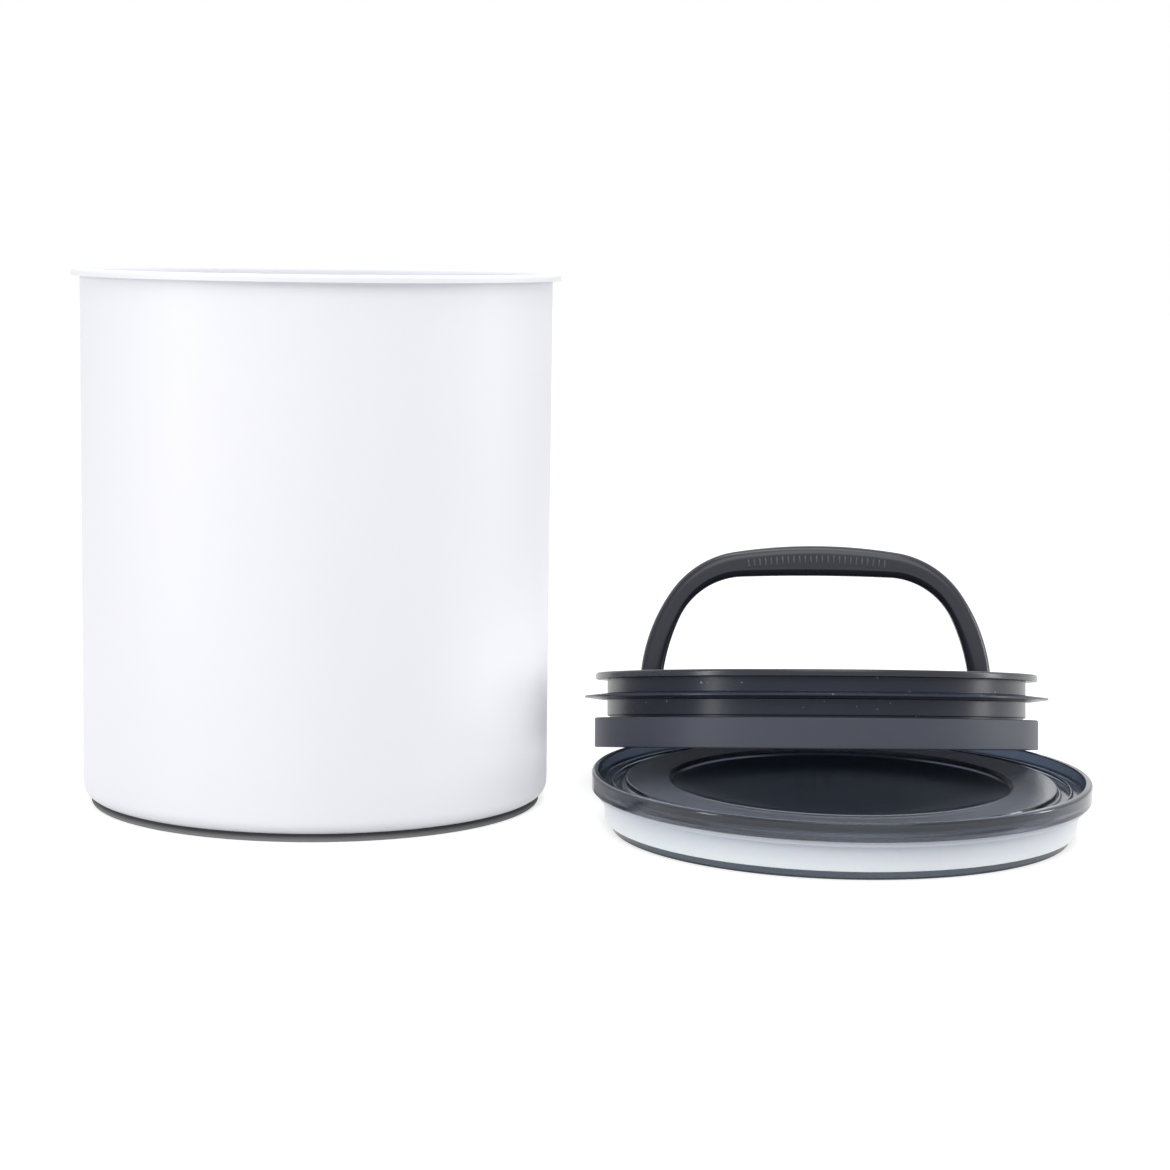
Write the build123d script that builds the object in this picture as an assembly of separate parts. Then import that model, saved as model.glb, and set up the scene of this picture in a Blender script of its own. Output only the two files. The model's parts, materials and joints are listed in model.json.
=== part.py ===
from build123d import *
import math
import os

# A coffee canister with its two lids taken off and standing beside it.
# Millimetres, Z up. The origin is the centre of the canister's base, on the surface it stands on.
# The camera side is -Y. The outer lid lies flat, and the inner lid leans on the outer lid's rim.

# Clearances and small values shared by the pieces
overrun = 5.0
rest_gap = 0.3
floor_gap = 0.05
running_gap = 0.06
side_gap = 0.35
corner_round = 0.3

# Canister body: thin drawn steel
can_r = 85.0
can_height = 193.4
can_wall = 0.7
can_corner_r = 4.5
can_base_z = 2.7
panel_margin = 8.0
panel_rise = 1.5
panel_slope_w = 3.0
panel_round = 1.2

# Canister rim: flared outwards, flat for a little, then a short curl that is open underneath
rim_flare_r = 1.4
rim_flat_w = 0.4
rim_curl_r = 0.6
rim_drop = 2.7

# Rubber foot ring, nested under the rounded corner
foot_inset = 3.0
foot_w = 12.0
foot_lap = 0.3
foot_round = 0.6

# Outer lid: rim, stepped rings, plateau and dish, from the outside inwards
cover_inset = 0.2
cover_height = 20.4
cover_wall = 2.0
cover_flange_t = 1.3
cover_rim_w = 2.5
cover_rim_round = 1.0
cover_edge_round = 0.5
ledge_drop = 3.6
ledge_w = 1.7
step_fall = 0.6
step_w = 2.6
bead_w = 0.9
bead_rise = 1.0
trough_fall = 1.0
trough_w = 3.0
curb_w = 0.9
curb_rise = 1.0
flank_w = 0.7
plateau_drop = 2.5
plateau_w = 15.1
lip_w = 1.4
lip_fall = 1.4
dish_slope_w = 13.1
dish_fall = 3.3

# Outer lid's plug wall
plug_inset = 3.2
plug_wall = 2.4
plug_groove = 1.0
plug_foot_h = 3.0

# Outer lid's gasket: a sleeve, a hanging skirt and a lip under the rim
gasket_gap = 0.5
gasket_draw = 0.9
gasket_lip_inset = 1.7
gasket_lip_h = 1.9
gasket_skirt_wall = 1.5
gasket_sleeve_wall = 1.3
gasket_tip_rise = 0.15

# Inner lid, in its own frame: the skirt's bottom edge is at height zero
skirt_gap = 0.6
skirt_h = 11.2
skirt_wall = 1.5
skirt_round = 0.6
base_plate_t = 2.0
vent_plate_t = 1.0
vent_field_r = 11.0
vent_r = 1.2
vent_ring_r = 6.5
vent_count = 8
spigot_wall = 2.0
spigot_gap = 0.1

# Flange, well and valve boss of the inner lid's top
top_h = 17.0
flange_gap = 0.9
flange_t = 2.6
flange_reach = 4.4
flange_round = 0.9
well_wall = 2.4
well_void_h = 2.4
well_floor_t = 2.0
well_round = 1.6
boss_r = 14.0
boss_wall = 1.6
deck_t = 1.6
seat_r = 8.0
seat_w = 0.9
seat_h = 0.4
deck_hole_r = 1.3
deck_hole_ring_r = 5.0
deck_hole_count = 6

# Silicone sleeve with its thin wiping fin
sleeve_wall = 3.0
sleeve_relief = 0.9
sleeve_relief_h = 0.7
fin_bite = 3.3
fin_rise = 6.6
fin_root_t = 2.6
fin_tip_share = 0.36
fin_tip_t = 0.5
fin_waist_share = 0.3
fin_waist_t = 1.5

# Bail handle, made of tangent arcs: a long leg arc, a corner arc and a flat crown
crown_margin = 17.1
handle_depth = 8.0
handle_round = 1.6
leg_w = 8.1
leg_straight = 1.55
leg_turn = 35.0
corner_arc_r = 36.1
crown_turn = 9.0
crown_h = 11.4
inner_arc_drop = 2.79
inner_leg_turn = 24.7
inner_corner_arc_r = 27.1
inner_crown_turn = 2.2

# Pivots, cams and lugs
hub_floor_gap = 0.9
pin_r = 1.5
pin_cover = 1.1
pin_end_gap = 0.2
lug_reach = 6.55
lug_w = 11.0
lug_round = 2.0
cam_r = 3.2
cam_w = 3.4
cam_gap = 0.2
valve_lift = 2.5

# Valve parts
bridge_t = 2.4
bridge_w = 8.4
bridge_end_gap = 0.46
bridge_round = 0.6
pad_lap = 0.5
guide_inset = 18.6
guide_l = 9.0
guide_t = 1.8
guide_top_gap = 0.35
disc_lap = 0.9
disc_t = 1.4
disc_round = 0.4
seat_gap = 0.15
stem_r = 1.5
stem_head_r = 2.7
stem_head_t = 0.9
stem_tail = 0.6
stem_groove = 0.45
clip_r = 3.7
clip_t = 0.8
clip_slot_w = 1.7
spring_r = 2.6
wire_r = 0.28
spring_space = 4.4
spring_end_gap = 0.06
spring_turns = 3
points_per_turn = 36

# Where the lids lie
cover_gap = 19.14
cover_bearing = -13.94
lid_offset = 77.1
lid_heading = 2.2

# Canister and foot, worked out from the sizes above
bore_r = can_r - can_wall
rim_r = can_r + rim_flare_r + rim_flat_w + rim_curl_r + can_wall
foot_outer_r = can_r - foot_inset
foot_inner_r = foot_outer_r - foot_w

# Outer lid and gasket, worked out from the canister's bore and rim
cover_r = rim_r - cover_inset
trough_z = cover_height - ledge_drop - step_fall - trough_fall
cover_under_z = trough_z - cover_flange_t
gasket_skirt_r = bore_r - gasket_gap
plug_r = gasket_skirt_r - plug_inset
plug_neck_r = plug_r - plug_groove
plug_inner_r = plug_r - plug_wall

# Inner lid, worked out from the canister's bore
skirt_r = bore_r - skirt_gap
skirt_inner_r = skirt_r - skirt_wall
base_plate_z = skirt_h - base_plate_t
flange_r = bore_r - flange_gap
sleeve_r = flange_r - flange_reach
well_out_r = sleeve_r - sleeve_wall
well_r = well_out_r - well_wall
fin_r = bore_r + fin_bite
lid_height = skirt_h + top_h
flange_z = lid_height - flange_t
well_under_z = skirt_h + well_void_h
well_floor_z = well_under_z + well_floor_t


def leg_arc_radius(span, rise, corner_r, leg_angle, crown_angle):
    """The leg arc with which half an arch of tangent arcs climbs by the rise over the span."""
    leg = math.radians(leg_angle)
    crown = math.radians(crown_angle)
    flatness = math.tan(crown / 2)
    corner_rise = corner_r * (math.cos(crown) - math.sin(leg))
    corner_in = corner_r * (math.cos(leg) - math.sin(crown))
    climb = rise - corner_rise - (span - corner_in) * flatness
    return climb / (math.sin(leg) - (1 - math.cos(leg)) * flatness)


# Handle, worked out from the well
pivot_z = well_floor_z + hub_floor_gap + handle_depth / 2
handle_span_r = well_r - lug_reach - side_gap
handle_height = pivot_z + well_r - crown_margin
crown_under_z = handle_height - crown_h
hub_in_x = handle_span_r - leg_w
pin_x = hub_in_x + pin_cover

leg_start_z = pivot_z + leg_straight
inner_start_z = pivot_z - inner_arc_drop

# Valve heights, worked out from the cams downwards
cam_rise = valve_lift / 2
bridge_z = pivot_z + cam_rise + cam_r + cam_gap
bridge_top_z = bridge_z + bridge_t
bridge_rise = bridge_top_z - inner_start_z
inner_leg_r = leg_arc_radius(
    hub_in_x, crown_under_z - inner_start_z, inner_corner_arc_r, inner_leg_turn, inner_crown_turn
)
leg_lean_in = inner_leg_r - math.sqrt(inner_leg_r**2 - bridge_rise**2)
bridge_end_x = hub_in_x - leg_lean_in - bridge_end_gap
disc_z = bridge_z - disc_t
disc_r = seat_r + disc_lap
deck_top_z = disc_z - valve_lift - seat_gap - seat_h
deck_under_z = deck_top_z - deck_t
clip_top_z = deck_under_z - spring_space
clip_z = clip_top_z - clip_t

# The lean: the skirt's back edge is on the table, and its inner edge on two points of the outer lid's
# rim, or the base plate on the rim's far crest, whichever holds the lid higher
cover_reach = rim_r + cover_r + cover_gap
cover_x = cover_reach * math.cos(math.radians(cover_bearing))
cover_y = cover_reach * math.sin(math.radians(cover_bearing))
rim_crest_r = cover_r - cover_rim_round
chord_reach = (lid_offset**2 + skirt_inner_r**2 - rim_crest_r**2) / (2 * lid_offset)
crest_z = cover_height + rest_gap - floor_gap
edge_lean = math.asin(crest_z / (skirt_r + chord_reach))
plate_reach = skirt_r + lid_offset - rim_crest_r
plate_slope = math.atan2(base_plate_z, plate_reach)
plate_lean = math.asin(crest_z / math.hypot(plate_reach, base_plate_z)) - plate_slope
lid_lean = max(edge_lean, plate_lean)
lid_x = cover_x - lid_offset * math.sin(math.radians(lid_heading))
lid_y = cover_y + lid_offset * math.cos(math.radians(lid_heading))
lid_z = skirt_r * math.sin(lid_lean) + floor_gap
cover_place = Pos(cover_x, cover_y, 0)
lean_turn = Rot(0, 0, lid_heading) * Rot(-math.degrees(lid_lean), 0, 0) * Rot(0, 0, -lid_heading)
lid_place = Pos(lid_x, lid_y, lid_z) * lean_turn


def turned(corners):
    """Turns an outline about the axis; each corner is a radius, a height and its rounding."""
    spots = [(r, z) for r, z, rounding in corners]
    roundings = [rounding for r, z, rounding in corners]
    outline = FilletPolyline(*spots, radius=roundings, close=True)
    return revolve(Plane.XZ * make_face(outline), Axis.Z)


def post(radius, low, high):
    """A round post on the axis, between two heights."""
    blank = Cylinder(radius, high - low, align=(Align.CENTER, Align.CENTER, Align.MIN))
    return Pos(0, 0, low) * blank


def cross_post(radius, start, end, y, z):
    """A round post along X, between two places."""
    blank = Cylinder(radius, end - start, align=(Align.CENTER, Align.CENTER, Align.MIN))
    return Pos(0, y, z) * (Plane.YZ.offset(start) * blank)


def block(x_size, y_size, low, high):
    """A block centred on the axis, between two heights."""
    blank = Box(x_size, y_size, high - low, align=(Align.CENTER, Align.CENTER, Align.MIN))
    return Pos(0, 0, low) * blank


def ring_of(radius, count, piece):
    """Repeats a piece round the axis."""
    return [Rot(0, 0, 360 / count * i) * Pos(radius, 0, 0) * piece for i in range(count)]


def both_sides(piece):
    """A piece and its mirror image at the other end of the handle's axis."""
    return [piece, mirror(piece, Plane.YZ)]


def save(shape, node):
    export_step(shape, "parts/" + node + ".step")


# Canister
def canister_shell():
    """Follows the underside and outside of the sheet, then thickens it inwards."""
    panel_r = foot_inner_r - panel_margin
    base = FilletPolyline(
        (0, can_base_z + panel_rise),
        (panel_r, can_base_z + panel_rise),
        (panel_r + panel_slope_w, can_base_z),
        (can_r, can_base_z),
        (can_r, can_height - can_wall - rim_flare_r),
        radius=[panel_round, panel_round, can_corner_r],
    )
    flare = JernArc(base @ 1, (0, 1), rim_flare_r, -90)
    top = Line(flare @ 1, flare @ 1 + (rim_flat_w, 0))
    curl = JernArc(top @ 1, (1, 0), rim_curl_r, -90)
    hem = Line(curl @ 1, (rim_r - can_wall, can_height - rim_drop))
    path = Wire(base.edges() + flare.edges() + top.edges() + curl.edges() + hem.edges())
    sheet = offset(path, amount=can_wall, side=Side.LEFT, closed=True)
    return revolve(Plane.XZ * make_face(sheet), Axis.Z)


def base_ring(shell):
    top = can_base_z + foot_lap
    blank = turned([
        (foot_inner_r, 0, foot_round),
        (foot_outer_r, 0, foot_round),
        (foot_outer_r, top, 0),
        (foot_inner_r, top, 0),
    ])
    return blank - shell


# Outer lid
def outer_lid():
    """Stepped top with an even wall under it, on a plug wall."""
    crest_r = cover_r - cover_rim_w
    ledge_r = crest_r - ledge_w
    step_r = ledge_r - step_w
    bead_r = step_r - bead_w
    trough_r = bead_r - trough_w
    curb_r = trough_r - curb_w
    plateau_r = curb_r - flank_w
    plateau_in_r = plateau_r - plateau_w
    lip_r = plateau_in_r - lip_w
    dish_r = lip_r - dish_slope_w
    ledge_z = cover_height - ledge_drop
    step_z = ledge_z - step_fall
    plateau_z = cover_height - plateau_drop
    lip_z = plateau_z - lip_fall
    dish_z = lip_z - dish_fall
    return turned([
        (plug_inner_r, 0, cover_edge_round),
        (plug_r, 0, cover_edge_round),
        (plug_r, plug_foot_h, 0),
        (plug_neck_r, plug_foot_h, 0),
        (plug_neck_r, cover_under_z, 0),
        (cover_r, cover_under_z, cover_edge_round),
        (cover_r, cover_height, cover_rim_round),
        (crest_r, cover_height, cover_edge_round),
        (crest_r - corner_round, ledge_z, corner_round),
        (ledge_r, ledge_z, corner_round),
        (ledge_r - corner_round, step_z, corner_round),
        (step_r, step_z, corner_round),
        (step_r - corner_round, step_z + bead_rise, corner_round),
        (bead_r, step_z + bead_rise, corner_round),
        (bead_r - corner_round, trough_z, corner_round),
        (trough_r, trough_z, corner_round),
        (trough_r - corner_round, trough_z + curb_rise, corner_round),
        (curb_r, trough_z + curb_rise, corner_round),
        (plateau_r, plateau_z, cover_edge_round),
        (plateau_in_r, plateau_z, cover_edge_round),
        (lip_r, lip_z, cover_edge_round),
        (dish_r, dish_z, cover_rim_round),
        (0, dish_z, 0),
        (0, dish_z - cover_wall, 0),
        (dish_r, dish_z - cover_wall, cover_rim_round),
        (lip_r, lip_z - cover_wall, cover_edge_round),
        (plateau_in_r, plateau_z - cover_wall, cover_edge_round),
        (plateau_r - flank_w, plateau_z - cover_wall, cover_edge_round),
        (curb_r - flank_w, trough_z - cover_wall, cover_edge_round),
        (plug_inner_r, trough_z - cover_wall, 0),
    ])


def outer_lid_gasket():
    lip_r = cover_r - gasket_lip_inset
    lip_z = cover_under_z - gasket_lip_h
    foot_r = gasket_skirt_r - gasket_draw
    tip_z = plug_foot_h + gasket_tip_rise
    sleeve_out_r = plug_neck_r + gasket_sleeve_wall
    return turned([
        (plug_neck_r, plug_foot_h, 0),
        (sleeve_out_r, plug_foot_h, corner_round),
        (sleeve_out_r, lip_z, corner_round),
        (gasket_skirt_r - gasket_skirt_wall, lip_z, corner_round),
        (foot_r - gasket_skirt_wall / 2, tip_z, corner_round),
        (foot_r, tip_z, corner_round),
        (gasket_skirt_r, lip_z, corner_round),
        (lip_r, lip_z, cover_edge_round),
        (lip_r, cover_under_z, corner_round),
        (plug_neck_r, cover_under_z, 0),
    ])


# Inner lid, upright in its own frame
def lug_block():
    """A block on the well's wall that carries one pivot pin."""
    length = well_wall / 2 + lug_reach
    lug = block(length, lug_w, well_under_z, flange_z)
    lug = fillet(lug.edges().filter_by(Axis.X).group_by(Axis.Z)[-1], lug_round)
    return Pos(well_r - lug_reach + length / 2, 0, 0) * lug


def pivot_pin():
    """One pin, from inside the handle's leg to just short of the well wall's outside."""
    return cross_post(pin_r, pin_x, well_out_r - pin_end_gap, 0, pivot_z)


def bridge_guides():
    """Two upright ribs that the valve's bridge slides between, at one end of it."""
    guide = block(guide_l, guide_t, well_under_z, bridge_z - guide_top_gap)
    guide = fillet(guide.edges().filter_by(Axis.Y).group_by(Axis.Z)[-1], flange_round)
    guide_x = hub_in_x - guide_inset
    guide_y = bridge_w / 2 + side_gap + guide_t / 2
    return [Pos(guide_x, row * guide_y, 0) * guide for row in (1, -1)]


def inner_lid_top():
    boss_in_r = boss_r - boss_wall
    body = turned([
        (well_r, skirt_h, 0),
        (well_out_r, skirt_h, 0),
        (well_out_r, flange_z, 0),
        (flange_r, flange_z, flange_round / 2),
        (flange_r, lid_height, flange_round),
        (well_r, lid_height, flange_round),
        (well_r, well_floor_z, well_round),
        (boss_r, well_floor_z, flange_round),
        (boss_r, deck_top_z, flange_round),
        (0, deck_top_z, 0),
        (0, deck_under_z, 0),
        (boss_in_r, deck_under_z, corner_round),
        (boss_in_r, well_under_z, 0),
        (well_r, well_under_z, 0),
    ])
    seat = turned([
        (seat_r - seat_w, deck_under_z, 0),
        (seat_r, deck_under_z, 0),
        (seat_r, deck_top_z + seat_h, corner_round),
        (seat_r - seat_w, deck_top_z + seat_h, corner_round),
    ])
    body = body + seat + both_sides(lug_block())
    for guide in bridge_guides():
        body = body + both_sides(guide)
    body = body - both_sides(pivot_pin())
    body = body - post(stem_r + running_gap, deck_under_z - overrun, deck_top_z + overrun)
    hole = post(deck_hole_r, deck_under_z - overrun, deck_top_z + overrun)
    return body - ring_of(deck_hole_ring_r, deck_hole_count, hole)


def wiper_seal():
    """A sleeve round the well's wall, with a fin that tapers in a hollow curve to its tip."""
    fin_root_z = skirt_h + fin_rise
    tip_z = fin_root_z + fin_root_t * fin_tip_share
    waist_r = sleeve_r + (fin_r - sleeve_r) * fin_waist_share
    waist_z = tip_z - fin_waist_t * fin_tip_share
    return turned([
        (well_out_r, skirt_h, 0),
        (sleeve_r - sleeve_relief, skirt_h, 0),
        (sleeve_r - sleeve_relief, skirt_h + sleeve_relief_h, 0),
        (sleeve_r, skirt_h + sleeve_relief_h, corner_round),
        (sleeve_r, fin_root_z, corner_round),
        (waist_r, waist_z, fin_waist_t),
        (fin_r, tip_z, fin_tip_t / 4),
        (fin_r, tip_z + fin_tip_t, fin_tip_t / 4),
        (waist_r, waist_z + fin_waist_t, fin_waist_t),
        (sleeve_r, fin_root_z + fin_root_t, corner_round),
        (sleeve_r, flange_z, 0),
        (well_out_r, flange_z, 0),
    ])


def inner_lid_base():
    spigot_r = well_r - running_gap
    spigot_z = well_under_z - spigot_gap
    vent_top = base_plate_z + vent_plate_t
    body = turned([
        (0, base_plate_z, 0),
        (skirt_inner_r, base_plate_z, skirt_round),
        (skirt_inner_r, 0, corner_round),
        (skirt_r, 0, skirt_round),
        (skirt_r, skirt_h, skirt_round),
        (spigot_r, skirt_h, 0),
        (spigot_r, spigot_z, corner_round),
        (spigot_r - spigot_wall, spigot_z, corner_round),
        (spigot_r - spigot_wall, skirt_h, 0),
        (vent_field_r, skirt_h, corner_round),
        (vent_field_r, vent_top, corner_round),
        (0, vent_top, 0),
    ])
    hole = post(vent_r, base_plate_z - overrun, vent_top + overrun)
    return body - hole - ring_of(vent_ring_r, vent_count, hole)


# Handle
def arch_half(span, start, top, corner_r, leg_angle, crown_angle):
    """Half of an arch from below: a straight leg, a leg arc, a corner arc and a crown arc."""
    leg_r = leg_arc_radius(span, top - start, corner_r, leg_angle, crown_angle)
    straight = Line((span, -top), (span, start))
    first = JernArc(straight @ 1, (0, 1), leg_r, leg_angle)
    second = JernArc(first @ 1, first % 1, corner_r, 90 - crown_angle - leg_angle)
    crown_r = (second @ 1).X / math.sin(math.radians(crown_angle))
    third = JernArc(second @ 1, second % 1, crown_r, crown_angle)
    return straight.edges() + first.edges() + second.edges() + third.edges()


def arch_face(half, top):
    edges = half + [Line((0, top), (0, -top)).edge(), Line((0, -top), half[0] @ 0).edge()]
    face = make_face(edges)
    return face + mirror(face, Plane.YZ)


def handle():
    """The arch down to the pivots, with a round hub and an offset cam at each foot."""
    outside = arch_half(
        handle_span_r, leg_start_z, handle_height, corner_arc_r, leg_turn, crown_turn
    )
    inside = arch_half(
        hub_in_x, inner_start_z, crown_under_z, inner_corner_arc_r, inner_leg_turn, inner_crown_turn
    )
    flat = arch_face(outside, handle_height) - arch_face(inside, crown_under_z)
    arch = extrude(Plane.XZ * flat, handle_depth / 2, both=True)
    layers = arch.faces().sort_by(Axis.Y)
    arch = fillet(layers[0].edges() + layers[-1].edges(), handle_round)
    width = handle_span_r + overrun
    body = arch & block(2 * width, handle_depth + overrun, pivot_z, handle_height + overrun)
    hub = cross_post(handle_depth / 2, hub_in_x, handle_span_r, 0, pivot_z)
    hub = fillet(hub.edges().filter_by(GeomType.CIRCLE), handle_round / 2)
    cam = cross_post(cam_r, hub_in_x - cam_w, hub_in_x + handle_round, cam_rise, pivot_z + cam_rise)
    bore = cross_post(pin_r + running_gap, pin_x - side_gap, well_out_r, 0, pivot_z)
    return body + both_sides(hub) + both_sides(cam) - both_sides(bore)


# Valve
def valve_bridge():
    bar = block(2 * bridge_end_x, bridge_w, bridge_z, bridge_top_z)
    bar = bar + post(disc_r + pad_lap, bridge_z, bridge_top_z)
    bar = fillet(bar.faces().sort_by(Axis.Z)[-1].edges(), bridge_round)
    bar = bar - post(stem_r, bridge_z - overrun, bridge_top_z + overrun)
    return bar - post(stem_head_r, bridge_top_z - stem_head_t, bridge_top_z + overrun)


def valve_stem():
    head_z = bridge_top_z - stem_head_t
    end_z = clip_z - stem_tail
    neck_r = stem_r - stem_groove
    return turned([
        (0, end_z, 0),
        (stem_r, end_z, corner_round),
        (stem_r, clip_z, 0),
        (neck_r, clip_z, 0),
        (neck_r, clip_top_z, 0),
        (stem_r, clip_top_z, 0),
        (stem_r, head_z, 0),
        (stem_head_r, head_z, 0),
        (stem_head_r, bridge_top_z, corner_round),
        (0, bridge_top_z, 0),
    ])


def valve_disc():
    return turned([
        (stem_r, disc_z, 0),
        (disc_r, disc_z, disc_round),
        (disc_r, bridge_z, disc_round),
        (stem_r, bridge_z, 0),
    ])


def stem_clip():
    """A ring in the stem's groove, open at one side."""
    ring = post(clip_r, clip_z, clip_top_z) - post(stem_r - stem_groove, clip_z, clip_top_z)
    return ring - Pos(clip_r, 0, 0) * block(2 * clip_r, clip_slot_w, clip_z, clip_top_z)


def valve_spring():
    """One wire in steady turns, squeezed between the deck and the clip."""
    low = clip_top_z + spring_end_gap + wire_r
    high = deck_under_z - spring_end_gap - wire_r
    line = Helix((high - low) / spring_turns, high - low, spring_r)
    count = spring_turns * points_per_turn
    spots = [line @ (i / count) for i in range(count + 1)]
    far = points_per_turn // 2
    least = min((a - b).length for i, a in enumerate(spots) for b in spots[i + far:])
    print("spring's least gap to itself", round(least - 2 * wire_r, 2))
    section = Plane(line @ 0, z_dir=line % 0) * Circle(wire_r)
    return Pos(0, 0, low) * sweep(section, path=line)


def main():
    os.makedirs("parts", exist_ok=True)
    shell = canister_shell()
    save(shell, "canister_shell")
    save(base_ring(shell), "base_ring")
    save(cover_place * outer_lid(), "outer_lid")
    save(cover_place * outer_lid_gasket(), "outer_lid_gasket")
    inner_pieces = {
        "inner_lid_top": inner_lid_top(),
        "wiper_seal": wiper_seal(),
        "inner_lid_base": inner_lid_base(),
        "handle": handle(),
        "pivot_pins": Compound(children=both_sides(pivot_pin())),
        "valve_bridge": valve_bridge(),
        "valve_stem": valve_stem(),
        "valve_disc": valve_disc(),
        "stem_clip": stem_clip(),
        "valve_spring": valve_spring(),
    }
    for node, shape in inner_pieces.items():
        save(lid_place * shape, node)


main()
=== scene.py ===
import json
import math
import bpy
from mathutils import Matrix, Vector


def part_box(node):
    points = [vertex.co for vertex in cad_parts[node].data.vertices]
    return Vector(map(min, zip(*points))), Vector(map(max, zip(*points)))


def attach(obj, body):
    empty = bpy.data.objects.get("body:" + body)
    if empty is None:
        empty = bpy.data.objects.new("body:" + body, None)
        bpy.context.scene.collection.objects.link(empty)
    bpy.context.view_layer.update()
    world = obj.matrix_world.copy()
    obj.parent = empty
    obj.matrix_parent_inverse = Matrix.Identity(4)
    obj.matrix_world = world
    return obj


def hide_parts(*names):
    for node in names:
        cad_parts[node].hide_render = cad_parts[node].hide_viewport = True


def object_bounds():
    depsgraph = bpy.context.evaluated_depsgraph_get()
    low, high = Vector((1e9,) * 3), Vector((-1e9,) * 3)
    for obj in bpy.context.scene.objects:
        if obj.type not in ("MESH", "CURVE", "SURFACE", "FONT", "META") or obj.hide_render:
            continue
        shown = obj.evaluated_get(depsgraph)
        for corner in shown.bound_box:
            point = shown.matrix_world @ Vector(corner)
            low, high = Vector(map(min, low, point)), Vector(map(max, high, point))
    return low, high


bl_info = {
    "name": "Airtight canister with valve lid",
    "version": (1, 0, 0),
    "blender": (4, 5, 0),
    "location": "View3D > Sidebar > Canister",
    "description": "Surfaces and finishes for a steel canister, its outer lid and its press-down valve lid",
    "category": "Object",
}

import bmesh
import bpy
from bpy.props import FloatProperty, FloatVectorProperty, IntProperty, PointerProperty
from bpy.types import Operator, Panel, PropertyGroup
from mathutils import Matrix, Vector

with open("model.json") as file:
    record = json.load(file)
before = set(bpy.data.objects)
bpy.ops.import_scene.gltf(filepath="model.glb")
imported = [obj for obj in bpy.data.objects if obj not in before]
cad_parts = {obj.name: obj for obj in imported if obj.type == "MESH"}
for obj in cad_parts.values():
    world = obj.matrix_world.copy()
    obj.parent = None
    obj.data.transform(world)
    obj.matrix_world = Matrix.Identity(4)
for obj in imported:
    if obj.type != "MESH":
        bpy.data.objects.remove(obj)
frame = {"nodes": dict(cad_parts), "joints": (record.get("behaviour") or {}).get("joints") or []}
cad_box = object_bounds()

MM = 0.001
WELD = 1e-7
SHARP_ANGLE = math.radians(40)
ARC_STEP = math.radians(13)
LEAD_SHARE = 0.25
TURN_CORE = 0.01
LATHE_STEPS = 192
FINE_LATHE_STEPS = 256
CAM_STEPS = 64
DRILL_SIDES = 40
BEVEL_STEPS = 5
PAD_STEPS = 20
ARCH_STEPS = (18, 18, 12)
HUB_STEPS = 8
HUB_TURN = math.radians(80)
EDGE_SHARE = 0.9
FIN_TIP_SHARE = 0.36
FIN_WAIST_SHARE = 0.3
# Height up to which the foot is painted lighter, as painted light from the floor
FOOT_PAINTED_LIGHT_HEIGHT = 2.2 * MM
FLOOR_DROP = 0.1 * MM
SENSOR_WIDTH = 36
CLIP_START = 0.05
CLOUD_DETAIL = 3.0
GRAIN_DETAIL = 2.0
RIPPLE_SCALE = 1500.0
SPECK_SCALE = 420.0
SPECK_SHARE = 0.2
SPECK_RADIUS = 0.2
MARK_SIDES = 12
MARK_RINGS = 8
COLOUR_A = 6
COLOUR_B = 7
COLOUR_RESULT = 2
CARD_PLACE = (0.14, 0, 0.03)
CARD_WIDTH = 0.14
CARD_HEIGHT = 0.05
GLASS = {"Transmission Weight": 1.0, "IOR": 1.5}
MILKY = {"Subsurface Weight": 0.35, "Subsurface Scale": 0.002}
SATIN = {"Specular IOR Level": 0.5}
MATT = {"Specular IOR Level": 0.4}
DULL = {"Specular IOR Level": 0.3}
METAL = {"Metallic": 1.0}

# Each lamp's place from the middle of the part, its width and its height, in metres
LAMPS = {
    "key": ((0.2, -1.3, 1.3), 1.4, 1.4),
    "left": ((-1.3, -0.68, 0.2), 0.25, 0.9),
    "right": ((1.64, 0.2, 0.2), 0.25, 0.9),
    "top": ((0.1, 0.1, 1.5), 1.2, 0.5),
}

# Two tones, scales of the clouds and of the grain, relief in metres, roughness, other sockets
FINISHES = {
    "Powder coat": ("paint", "paint_deep", 9, 1400, 0.00001, (0.42, 0.52), {}),
    # The foot's second tone is painted light, laid on its lower edge
    "Foot rubber": ("foot", "foot_painted_light", 60, 2600, 0.00003, (0.7, 0.9), {}),
    "Smoked plastic": ("smoke", "smoke_cloud", 14, 260, 0.0000004, (0.1, 0.14), GLASS),
    "Clear silicone": ("silicone", "silicone_painted_light", 40, 1500, 0.00001, (0.28, 0.36), MILKY),
    "Charcoal plastic": ("charcoal", "charcoal_light", 35, 3200, 0.000012, (0.2, 0.28), SATIN),
    # Painted highlight for the grip marks
    "Painted highlight plastic": ("charcoal_light", "painted_highlight", 600, 3200, 0.000006, (0.18, 0.24), SATIN),
    "Wiper silicone": ("wiper", "wiper_dust", 50, 900, 0.000004, (0.26, 0.32), DULL),
    "Base plastic": ("base", "base_light", 30, 2800, 0.00002, (0.46, 0.56), MATT),
    "Drawn steel": ("steel", "steel_deep", 900, 5200, 0.000004, (0.2, 0.34), METAL),
}


def half_width(node):
    low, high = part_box(node)
    return (high.x - low.x) / 2


def top_of(node):
    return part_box(node)[1].z


def size(name, millimetres, description):
    return FloatProperty(
        name=name, description=description, default=millimetres * MM, unit="LENGTH", subtype="DISTANCE"
    )


def measured(name, metres, description):
    return size(name, metres / MM, description)


def turn(name, degrees, description):
    default = math.radians(degrees)
    return FloatProperty(
        name=name, description=description, default=default, unit="ROTATION", subtype="ANGLE"
    )


def amount(name, value, description):
    return FloatProperty(name=name, description=description, default=value, min=0)


def count(name, number, description):
    return IntProperty(name=name, description=description, default=number, min=1)


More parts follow.
